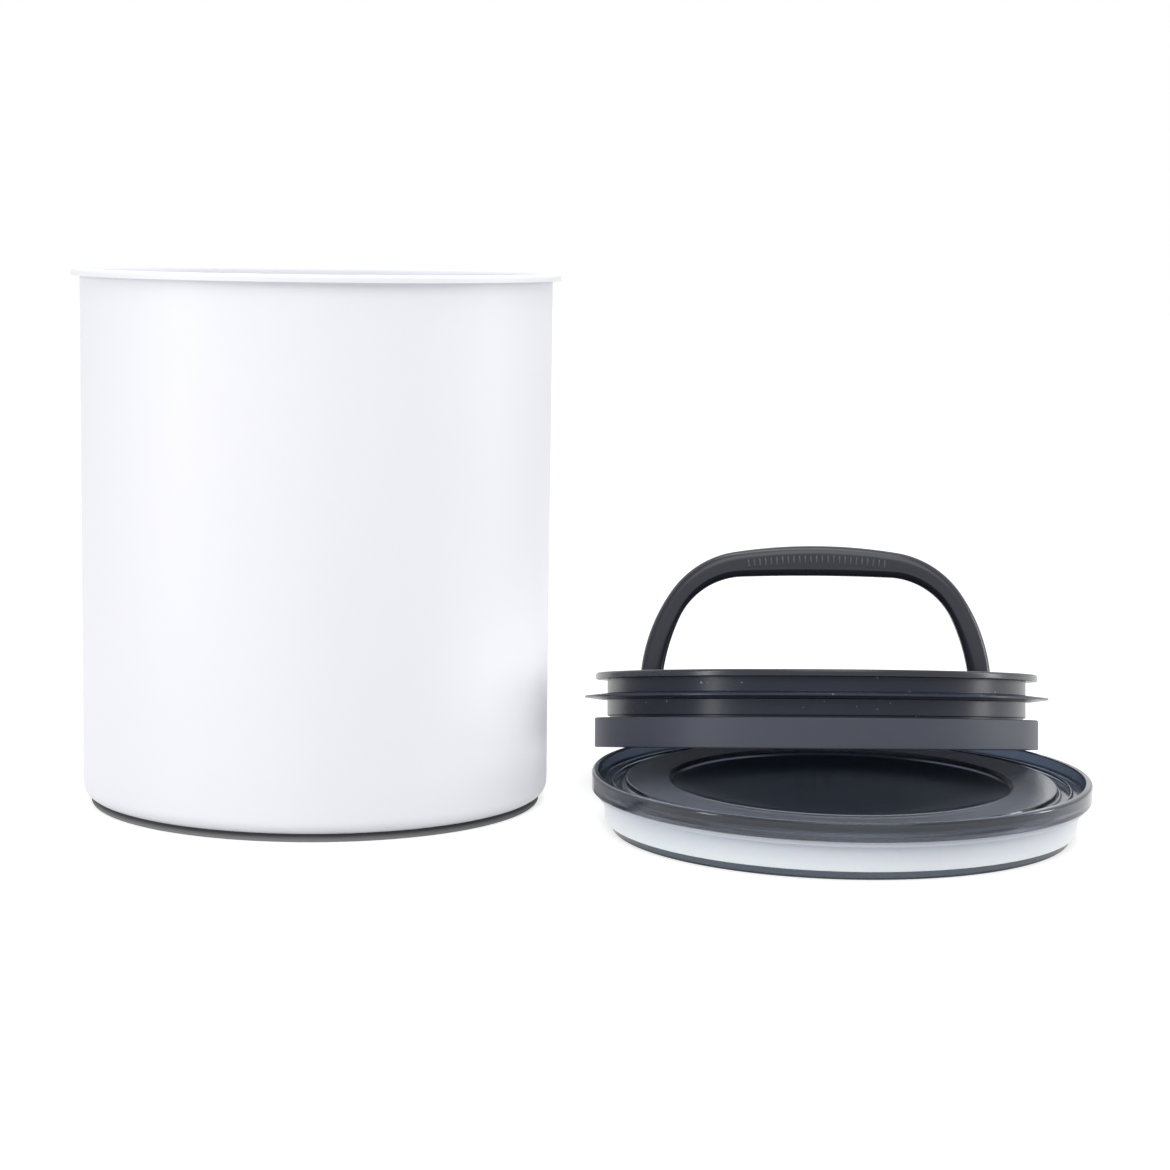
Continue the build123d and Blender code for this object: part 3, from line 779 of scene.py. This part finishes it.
def wiper_silicone():
    """Glossy dark silicone with a few dust specks that cling to it."""
    found = bpy.data.materials.get("Wiper silicone")
    if found:
        return found
    material = finish("Wiper silicone")
    tree = material.node_tree
    place = object_place(tree)
    ripple = node(tree, "ShaderNodeTexNoise", {"Vector": place, "Scale": RIPPLE_SCALE})
    shift = {0: ripple.outputs["Color"], 1: (MM, MM, MM), 2: place}
    uneven = first(tree, "ShaderNodeVectorMath", shift, operation="MULTIPLY_ADD")
    cells = node(tree, "ShaderNodeTexVoronoi", {"Vector": uneven, "Scale": SPECK_SCALE}).outputs
    chance = node(tree, "ShaderNodeSeparateColor", {"Color": cells["Color"]}).outputs
    reach = maths(tree, "MULTIPLY", chance[1], SPECK_RADIUS)
    near = maths(tree, "LESS_THAN", cells["Distance"], reach)
    speck = maths(tree, "MULTIPLY", near, maths(tree, "LESS_THAN", chance[0], SPECK_SHARE))
    tree.links.new(speck, tree.nodes["Tones"].inputs[0])
    return material


# Pieces
class CANISTER_OT_shell(Operator):
    """Make the steel body with its flared, curled rim and pressed base"""

    bl_idname = "canister.shell"
    bl_label = "Canister body"

    def execute(self, context):
        s = context.scene.canister_shell
        body = s.rim_radius - s.flare - s.flat - s.curl - s.wall
        under = s.height - s.wall
        floor = s.base + s.wall
        slope = s.panel + s.panel_slope
        corners = [
            (0, s.base + s.panel_rise, 0),
            (s.panel, s.base + s.panel_rise, s.panel_round),
            (slope, s.base, s.panel_round),
            (body, s.base, s.corner),
            (body, under, s.flare),
            (s.rim_radius - s.wall, under, s.curl),
            (s.rim_radius - s.wall, s.height - s.hem, s.wall / 3),
            (s.rim_radius, s.height - s.hem, s.wall / 3),
            (s.rim_radius, s.height, s.curl + s.wall),
            (body - s.wall, s.height, s.flare + s.wall),
            (body - s.wall, floor, s.corner - s.wall),
            (slope, floor, s.panel_round),
            (s.panel, floor + s.panel_rise, s.panel_round),
            (0, floor + s.panel_rise, 0),
        ]
        material = finish("Powder coat")
        mesh = turned(corners, material, closed=False, segments=FINE_LATHE_STEPS)
        place = Matrix()
        install("can_body", mesh, material, place, "canister", "white_powder_coat", "canister_shell")
        return {"FINISHED"}


class CANISTER_OT_foot(Operator):
    """Make the rubber foot ring under the body"""

    bl_idname = "canister.foot"
    bl_label = "Rubber foot"

    def execute(self, context):
        s = context.scene.canister_shell
        outer = half_width("base_ring")
        body = s.rim_radius - s.flare - s.flat - s.curl - s.wall
        corners = [
            (s.foot_inner, 0, s.foot_round),
            (outer, 0, s.foot_round),
            (outer, top_of("base_ring"), s.foot_round / 4),
            (body - s.corner, s.base, 0),
            (s.foot_inner, s.base, 0),
        ]
        material = foot_rubber()
        mesh = turned(corners, material, segments=FINE_LATHE_STEPS)
        install("foot_ring", mesh, material, Matrix(), "canister", "grey_rubber", "base_ring")
        return {"FINISHED"}


class CANISTER_OT_cover(Operator):
    """Make the smoked outer lid with its stepped rings, plateau, dish and plug wall"""

    bl_idname = "canister.cover"
    bl_label = "Outer lid"

    def execute(self, context):
        s = context.scene.canister_cover
        crest = s.radius - s.rim
        ledge = crest - s.ledge
        step = ledge - s.step
        bead = step - s.bead
        trough = bead - s.trough
        curb = trough - s.curb
        plateau = curb - s.flank
        plateau_in = plateau - s.plateau
        lip = plateau_in - s.lip
        dish = lip - s.slope
        ledge_z = s.height - s.ledge_drop
        step_z = ledge_z - s.step_fall
        trough_z = step_z - s.trough_fall
        plateau_z = s.height - s.plateau_drop
        lip_z = plateau_z - s.lip_fall
        dish_z = lip_z - s.dish_fall
        under_z = trough_z - s.flange
        neck = s.plug - s.groove
        bore = s.plug - s.plug_wall
        bead_z = step_z + s.bead_rise
        curb_z = trough_z + s.curb_rise
        edges = (trough, bead, step, ledge)
        levels = (curb_z, trough_z, bead_z, step_z, ledge_z)
        stairs = []
        for x, before, after in zip(edges, levels, levels[1:]):
            stairs += [(x - s.fine, before, s.fine), (x, after, s.fine)]
        corners = [
            (0, dish_z, 0),
            (dish, dish_z, s.dish_round),
            (lip, lip_z, s.edge),
            (plateau_in, plateau_z, s.edge),
            (plateau, plateau_z, s.edge),
            (curb, curb_z, s.fine),
            *stairs,
            (crest - s.fine, ledge_z, s.fine),
            (crest, s.height, s.edge),
            (s.radius, s.height, s.rim_round),
            (s.radius, under_z, s.edge),
            (neck, under_z, 0),
            (neck, s.foot, 0),
            (s.plug, s.foot, 0),
            (s.plug, 0, s.edge),
            (bore, 0, s.edge),
            (bore, trough_z - s.wall, s.fine),
            (curb - s.flank, trough_z - s.wall, s.edge),
            (plateau - s.flank, plateau_z - s.wall, s.edge),
            (plateau_in, plateau_z - s.wall, s.edge),
            (lip, lip_z - s.wall, s.edge),
            (dish, dish_z - s.wall, s.dish_round),
            (0, dish_z - s.wall, 0),
        ]
        place = cover_place()
        material = smoked_plastic(s, place.translation, lip, plateau, ledge, crest)
        mesh = turned(corners, material, closed=False)
        install("cover", mesh, material, place, "outer_lid", "smoked_plastic", "outer_lid")
        return {"FINISHED"}


class CANISTER_OT_gasket(Operator):
    """Make the milky gasket round the outer lid's plug wall"""

    bl_idname = "canister.gasket"
    bl_label = "Outer gasket"

    def execute(self, context):
        s = context.scene.canister_gasket
        c = context.scene.canister_cover
        neck = c.plug - c.groove
        top = top_of("outer_lid_gasket")
        lip_z = top - s.lip_height
        tip_z = c.foot + s.tip_rise
        sleeve = neck + s.sleeve_wall
        tip = s.skirt - s.draw
        corners = [
            (neck, c.foot, 0),
            (sleeve, c.foot, c.fine),
            (sleeve, lip_z, c.fine),
            (s.skirt - s.skirt_wall, lip_z, c.fine),
            (tip - s.skirt_wall / 2, tip_z, c.fine),
            (tip, tip_z, c.fine),
            (s.skirt, lip_z, c.fine),
            (s.lip, lip_z, c.edge),
            (s.lip, top, c.fine),
            (neck, top, 0),
        ]
        # Darker under the lip as painted shade, lighter towards the skirt's tip
        material = clear_silicone(lip_z, tip_z)
        mesh = turned(corners, material)
        place = cover_place()
        install("cover_gasket", mesh, material, place, "outer_lid", "clear_silicone", "outer_lid_gasket")
        return {"FINISHED"}


class CANISTER_OT_lid_top(Operator):
    """Make the inner lid's flange, well, pivot lugs and valve boss with its ring of holes"""

    bl_idname = "canister.lid_top"
    bl_label = "Inner lid top"

    def execute(self, context):
        s = context.scene.canister_lid
        well_out = s.well + s.well_wall
        flange_z = s.height - s.flange_thick
        boss_in = s.boss - s.boss_wall
        corners = [
            (s.stem_bore, s.deck_top, 0),
            (s.seat - s.seat_width, s.deck_top, s.fine / 2),
            (s.seat - s.seat_width, s.deck_top + s.seat_height, s.fine / 2),
            (s.seat, s.deck_top + s.seat_height, s.fine / 2),
            (s.seat, s.deck_top, s.fine / 2),
            (s.boss, s.deck_top, s.edge),
            (s.boss, s.well_floor, s.edge),
            (s.well, s.well_floor, s.well_round),
            (s.well, s.height, s.edge),
            (s.flange, s.height, s.edge),
            (s.flange, flange_z, s.edge / 2),
            (well_out, flange_z, 0),
            (well_out, s.skirt_height, 0),
            (s.well, s.skirt_height, 0),
            (s.well, s.well_under, 0),
            (boss_in, s.well_under, 0),
            (boss_in, s.deck_under, s.fine),
            (s.stem_bore, s.deck_under, 0),
        ]
        material = finish("Charcoal plastic")
        middle = (s.deck_top + s.deck_under) / 2
        blank = turned(corners, material)
        holes = (s.deck_holes, s.deck_ring, s.deck_hole, middle, s.boss)
        parts = [(drilled(blank, material, *holes), Matrix())]
        foot = s.well_floor - s.fine
        lug = raised_block(
            (s.lug_face, -s.lug_width / 2, foot),
            (s.well + s.fine, s.lug_width / 2, flange_z),
            s.lug_round / 2,
        )
        parts += [(lug, Matrix.Rotation(half_turn, 4, "Z")) for half_turn in (0, math.pi)]
        for x in (s.guide_place, -s.guide_place):
            for y in (s.guide_out, -s.guide_out):
                low = (x - s.guide_length / 2, y - s.guide_thick / 2, foot)
                high = (x + s.guide_length / 2, y + s.guide_thick / 2, s.guide_top)
                parts.append((raised_block(low, high, s.fine), Matrix()))
        mesh = joined(parts)
        place = lid_place()
        install("lid_top", mesh, material, place, "inner_lid", "charcoal_plastic", "inner_lid_top")
        return {"FINISHED"}


class CANISTER_OT_wiper(Operator):
    """Make the glossy silicone sleeve with its wiping fin"""

    bl_idname = "canister.wiper"
    bl_label = "Wiper seal"

    def execute(self, context):
        s = context.scene.canister_wiper
        lid = context.scene.canister_lid
        inner = lid.well + lid.well_wall
        sleeve = inner + s.wall
        flange_z = lid.height - lid.flange_thick
        tip_z = s.root + s.root_thick * FIN_TIP_SHARE
        waist = sleeve + (s.fin - sleeve) * FIN_WAIST_SHARE
        waist_z = tip_z - s.waist_thick * FIN_TIP_SHARE
        corners = [
            (inner, lid.skirt_height, 0),
            (sleeve - s.relief, lid.skirt_height, 0),
            (sleeve - s.relief, lid.skirt_height + s.relief_height, 0),
            (sleeve, lid.skirt_height + s.relief_height, lid.fine),
            (sleeve, s.root, lid.fine),
            (waist, waist_z, s.waist_thick),
            (s.fin, tip_z, s.tip_thick / 4),
            (s.fin, tip_z + s.tip_thick, s.tip_thick / 4),
            (waist, waist_z + s.waist_thick, s.waist_thick),
            (sleeve, s.root + s.root_thick, lid.fine),
            (sleeve, flange_z, 0),
            (inner, flange_z, 0),
        ]
        material = wiper_silicone()
        mesh = turned(corners, material, segments=FINE_LATHE_STEPS)
        install("wiper", mesh, material, lid_place(), "inner_lid", "dark_silicone", "wiper_seal")
        return {"FINISHED"}


class CANISTER_OT_lid_base(Operator):
    """Make the inner lid's base with its skirt and vent holes"""

    bl_idname = "canister.lid_base"
    bl_label = "Inner lid base"

    def execute(self, context):
        s = context.scene.canister_lid
        inner = s.skirt - s.skirt_wall
        plate_z = s.skirt_height - s.plate
        vent_z = plate_z + s.vent_plate
        spigot = s.well - s.spigot_gap
        spigot_z = s.skirt_height + s.spigot_height
        corners = [
            (s.vent, plate_z, 0),
            (inner, plate_z, s.skirt_round),
            (inner, 0, s.fine),
            (s.skirt, 0, s.skirt_round),
            (s.skirt, s.skirt_height, s.skirt_round),
            (spigot, s.skirt_height, 0),
            (spigot, spigot_z, s.fine),
            (spigot - s.spigot_wall, spigot_z, s.fine),
            (spigot - s.spigot_wall, s.skirt_height, 0),
            (s.vent_field, s.skirt_height, s.fine),
            (s.vent_field, vent_z, s.fine),
            (s.vent, vent_z, 0),
        ]
        material = finish("Base plastic")
        blank = turned(corners, material)
        mesh = drilled(blank, material, s.vents, s.vent_ring, s.vent, plate_z, s.vent_field)
        place = lid_place()
        install("lid_base", mesh, material, place, "inner_lid", "grey_plastic", "inner_lid_base")
        return {"FINISHED"}


def arch_line(span, start, foot, top, corner, leg_turn, crown_turn):
    """Points up half an arch of tangent arcs, from the foot's height to the crown's middle."""
    flatness = math.tan(crown_turn / 2)
    corner_rise = corner * (math.cos(crown_turn) - math.sin(leg_turn))
    corner_in = corner * (math.cos(leg_turn) - math.sin(crown_turn))
    climb = top - start - corner_rise - (span - corner_in) * flatness
    leg = climb / (math.sin(leg_turn) - (1 - math.cos(leg_turn)) * flatness)
    first_turn = math.asin(max(0, foot - start) / leg)
    shoulder = math.pi / 2 - crown_turn
    corner_x = span - leg + (leg - corner) * math.cos(leg_turn)
    corner_z = start + (leg - corner) * math.sin(leg_turn)
    crown = (corner_x + corner * math.cos(shoulder)) / math.sin(crown_turn)
    arcs = [
        (leg, span - leg, start, first_turn, leg_turn),
        (corner, corner_x, corner_z, leg_turn, shoulder),
        (crown, 0, top - crown, shoulder, math.pi / 2),
    ]
    points = []
    for (radius, x, z, low, high), steps in zip(arcs, ARCH_STEPS):
        for step in range(steps):
            angle = low + (high - low) * step / steps
            points.append(Vector((x + radius * math.cos(angle), 0, z + radius * math.sin(angle))))
    points.append(Vector((0, 0, top)))
    return points, crown


class CANISTER_OT_handle(Operator):
    """Make the bail handle with its hubs, cams and raised grip marks"""

    bl_idname = "canister.handle"
    bl_label = "Bail handle"

    def execute(self, context):
        s = context.scene.canister_handle
        material = finish("Charcoal plastic")
        turns = (s.leg_turn, s.crown_turn)
        outside, crown = arch_line(s.span, s.start, s.start, s.height, s.corner, *turns)
        turns = (s.inner_leg_turn, s.inner_crown_turn)
        leg_in = s.span - s.leg
        under = s.height - s.crown
        inside = arch_line(leg_in, s.inner_start, s.start, under, s.inner_corner, *turns)[0]
        half = s.depth / 2
        stations = []
        for step in range(HUB_STEPS + 1):
            angle = HUB_TURN * (1 - step / HUB_STEPS)
            z = s.pivot - half * math.sin(angle)
            stations.append((Vector((s.span, 0, z)), Vector((leg_in, 0, z)), half * math.cos(angle)))
        stations += [(out, inn, half) for out, inn in zip(outside, inside)]
        mirror = [
            (Vector((-out.x, 0, out.z)), Vector((-inn.x, 0, inn.z)), deep)
            for out, inn, deep in reversed(stations[:-1])
        ]
        rings = []
        for out, inn, deep in stations + mirror:
            width = (out - inn).length
            edge = min(s.edge, deep * EDGE_SHARE)
            box = ((0, -deep), (width, -deep), (width, deep), (0, deep))
            section = rounded([(*corner, edge) for corner in box])
            way = (out - inn).normalized()
            rings.append([inn + way * u + Vector((0, v, 0)) for u, v in section])
        fine = context.scene.canister_lid.fine
        root = s.cam_width + s.edge
        outline = [(0, 0, 0), (s.cam, 0, fine), (s.cam, root, 0), (0, root, 0)]
        cam = turned(outline, material, closed=False, segments=CAM_STEPS)
        cam_place = along_x(leg_in - s.cam_width, s.cam_rise, s.pivot + s.cam_rise)
        parts = [(lofted(rings), Matrix())]
        parts += [(cam, Matrix.Diagonal((side, 1, 1, 1)) @ cam_place) for side in (1, -1)]
        place = lid_place()
        install("bail_handle", joined(parts), material, place, "handle", "charcoal_plastic", "handle")
        # The grip marks get a lighter finish as painted highlight
        painted_highlight = finish("Painted highlight plastic")
        radius = crown - s.tick_drop
        values = {
            "Marks": s.ticks,
            "Turn between": s.tick_pitch / radius,
            "Arc radius": radius,
            "Arc centre": (0, -half, s.height - crown),
            "Bar": (s.tick_width, 2 * s.tick_proud, s.tick_height),
            "Material": painted_highlight,
        }
        bars = grown("Row of grip marks", tick_tree, bpy.data.meshes.new("marks"), values)
        install("grip_marks", bars, painted_highlight, place, "handle", "charcoal_plastic")
        return {"FINISHED"}


def bridge_outline(s, inset):
    """The bar with its round pad, seen from above, at a distance inside its edge."""
    half = s.width / 2 - inset
    pad = s.pad - inset
    reach = s.reach - inset
    start = math.asin(half / pad)
    side = [(reach, half)]
    for step in range(PAD_STEPS + 1):
        angle = start + (math.pi - 2 * start) * step / PAD_STEPS
        side.append((pad * math.cos(angle), pad * math.sin(angle)))
    side.append((-reach, half))
    return side + [(-x, -y) for x, y in side]


class CANISTER_OT_bridge(Operator):
    """Make the bar that the cams lift, with its round pad over the valve"""

    bl_idname = "canister.bridge"
    bl_label = "Valve bridge"

    def execute(self, context):
        s = context.scene.canister_bridge
        material = finish("Charcoal plastic")
        top = s.under + s.thick
        sunk = Vector((0, 0, top - s.head_depth))
        recess = [Vector((x, y, 0)).normalized() * s.head for x, y in bridge_outline(s, 0)]
        rings = [[sunk], [point + sunk for point in recess]]
        rings.append([point + Vector((0, 0, top)) for point in recess])
        for step in range(BEVEL_STEPS + 1):
            angle = math.pi / 2 * step / BEVEL_STEPS
            inset = s.edge * (1 - math.sin(angle))
            height = top - s.edge * (1 - math.cos(angle))
            rings.append([Vector((x, y, height)) for x, y in bridge_outline(s, inset)])
        rings.append([Vector((x, y, s.under)) for x, y in bridge_outline(s, 0)])
        rings.append([Vector((0, 0, s.under))])
        mesh = lofted(rings)
        install("bridge_bar", mesh, material, lid_place(), "valve", "charcoal_plastic", "valve_bridge")
        return {"FINISHED"}


class CANISTER_OT_valve(Operator):
    """Give the small valve pieces and the pins their finishes"""

    bl_idname = "canister.valve"
    bl_label = "Valve pieces"

    def execute(self, context):
        steel = finish("Drawn steel")
        finishes = dict.fromkeys(("pivot_pins", "valve_stem", "valve_spring", "stem_clip"), steel)
        finishes["valve_disc"] = wiper_silicone()
        for name, material in finishes.items():
            for slot in frame["nodes"][name].material_slots:
                slot.material = material
        return {"FINISHED"}


# Stage
def seen(tree):
    """1 where the camera sees a place, directly, mirrored or through something clear, and else 0."""
    path = node(tree, "ShaderNodeLightPath").outputs
    mirrored = maths(tree, "MAXIMUM", path["Is Camera Ray"], path["Is Glossy Ray"])
    return maths(tree, "MAXIMUM", mirrored, path["Is Transmission Ray"])


def floor_material(tones, veil):
    """Pale floor that shows shadows, with some white added where the camera sees it."""
    material = bpy.data.materials.new("Floor")
    material.use_nodes = True
    tree = material.node_tree
    tree.nodes.clear()
    plain = first(tree, "ShaderNodeBsdfDiffuse", {"Color": (*tones.floor, 1)})
    white = first(tree, "ShaderNodeEmission", {"Strength": veil})
    both = first(tree, "ShaderNodeAddShader", {0: plain, 1: white})
    mix = first(tree, "ShaderNodeMixShader", {0: seen(tree), 1: plain, 2: both})
    node(tree, "ShaderNodeOutputMaterial", {"Surface": mix})
    return material


def studio_world(strength):
    """Even light from all round, and plain white where the camera or a reflection sees it."""
    world = bpy.data.worlds.new("Studio")
    world.use_nodes = True
    tree = world.node_tree
    tree.nodes.clear()
    span = {"Value": seen(tree), "To Min": strength, "To Max": 1.0}
    level = first(tree, "ShaderNodeMapRange", span)
    light = first(tree, "ShaderNodeBackground", {"Color": (1, 1, 1, 1), "Strength": level})
    node(tree, "ShaderNodeOutputWorld", {"Surface": light})
    return world


def softbox(name, place, target, width, height, brightness):
    """An area lamp in metres that looks as bright as asked, where white is 1."""
    data = bpy.data.lights.new(name, "AREA")
    data.shape = "RECTANGLE"
    data.size = width
    data.size_y = height
    data.energy = brightness * math.pi * width * height
    lamp = bpy.data.objects.new(name, data)
    lamp.location = place
    lamp.rotation_euler = (Vector(target) - Vector(place)).to_track_quat("-Z", "Y").to_euler()
    bpy.context.scene.collection.objects.link(lamp)
    return lamp


class CANISTER_OT_stage(Operator):
    """Make the floor, the soft studio light and the camera"""

    bl_idname = "canister.stage"
    bl_label = "Stage"

    def execute(self, context):
        s = context.scene.canister_stage
        side = s.floor_size / 2
        mesh = bpy.data.meshes.new("floor")
        corners = [(-side, -side, 0), (side, -side, 0), (side, side, 0), (-side, side, 0)]
        mesh.from_pydata(corners, [], [(0, 1, 2, 3)])
        mesh.transform(Matrix.Translation((0, 0, -FLOOR_DROP)))
        mesh.materials.append(floor_material(context.scene.canister_tones, s.veil))
        floor = bpy.data.objects.new("floor", mesh)
        context.scene.collection.objects.link(floor)
        context.scene.world = studio_world(s.ambient)
        middle = (cad_box[0] + cad_box[1]) / 2
        for name, (offset, width, height) in LAMPS.items():
            softbox(name, middle + Vector(offset), middle, width, height, getattr(s, name))
        # A card that only the body sees makes up for the shade of the dark lids beside it
        card = softbox("card", CARD_PLACE, (0, 0, CARD_PLACE[2]), CARD_WIDTH, CARD_HEIGHT, s.card)
        card.visible_camera = False
        body = bpy.data.collections.new("body")
        body.objects.link(bpy.data.objects["can_body"])
        card.light_linking.receiver_collection = body
        card.light_linking.blocker_collection = body
        camera = bpy.data.objects.new("camera", bpy.data.cameras.new("camera"))
        context.scene.collection.objects.link(camera)
        camera.data.sensor_width = SENSOR_WIDTH
        camera.data.lens = s.lens
        camera.data.clip_start = CLIP_START
        aim = Matrix.Rotation(math.pi / 2 - s.pitch, 4, "X") @ Matrix.Rotation(s.roll, 4, "Z")
        camera.matrix_world = Matrix.Translation((s.camera_x, -s.camera_back, s.camera_z)) @ aim
        context.scene.camera = camera
        context.scene.view_settings.view_transform = "Standard"
        return {"FINISHED"}


PIECES = (
    CANISTER_OT_shell,
    CANISTER_OT_foot,
    CANISTER_OT_cover,
    CANISTER_OT_gasket,
    CANISTER_OT_lid_top,
    CANISTER_OT_wiper,
    CANISTER_OT_lid_base,
    CANISTER_OT_handle,
    CANISTER_OT_bridge,
    CANISTER_OT_valve,
    CANISTER_OT_stage,
)

GROUPS = {
    "canister_shell": ShellSizes,
    "canister_cover": CoverSizes,
    "canister_gasket": GasketSizes,
    "canister_lid": LidSizes,
    "canister_wiper": WiperSizes,
    "canister_handle": HandleSizes,
    "canister_bridge": BridgeSizes,
    "canister_tones": Tones,
    "canister_stage": StageSettings,
}


class CANISTER_PT_pieces(Panel):
    """The pieces of the canister, in the order in which they are made"""

    bl_label = "Canister"
    bl_space_type = "VIEW_3D"
    bl_region_type = "UI"
    bl_category = "Canister"

    def draw(self, context):
        for piece in PIECES:
            self.layout.operator(piece.bl_idname)


def register():
    for name, group in GROUPS.items():
        bpy.utils.register_class(group)
        setattr(bpy.types.Scene, name, PointerProperty(type=group))
    for piece in PIECES:
        bpy.utils.register_class(piece)
    bpy.utils.register_class(CANISTER_PT_pieces)


def unregister():
    bpy.utils.unregister_class(CANISTER_PT_pieces)
    for piece in reversed(PIECES):
        bpy.utils.unregister_class(piece)
    for name, group in GROUPS.items():
        delattr(bpy.types.Scene, name)
        bpy.utils.unregister_class(group)


def main():
    register()
    bpy.ops.canister.shell()
    bpy.ops.canister.foot()
    bpy.ops.canister.cover()
    bpy.ops.canister.gasket()
    bpy.ops.canister.lid_top()
    bpy.ops.canister.wiper()
    bpy.ops.canister.lid_base()
    bpy.ops.canister.handle()
    bpy.ops.canister.bridge()
    bpy.ops.canister.valve()
    bpy.ops.canister.stage()


if __name__ == "__main__":
    main()
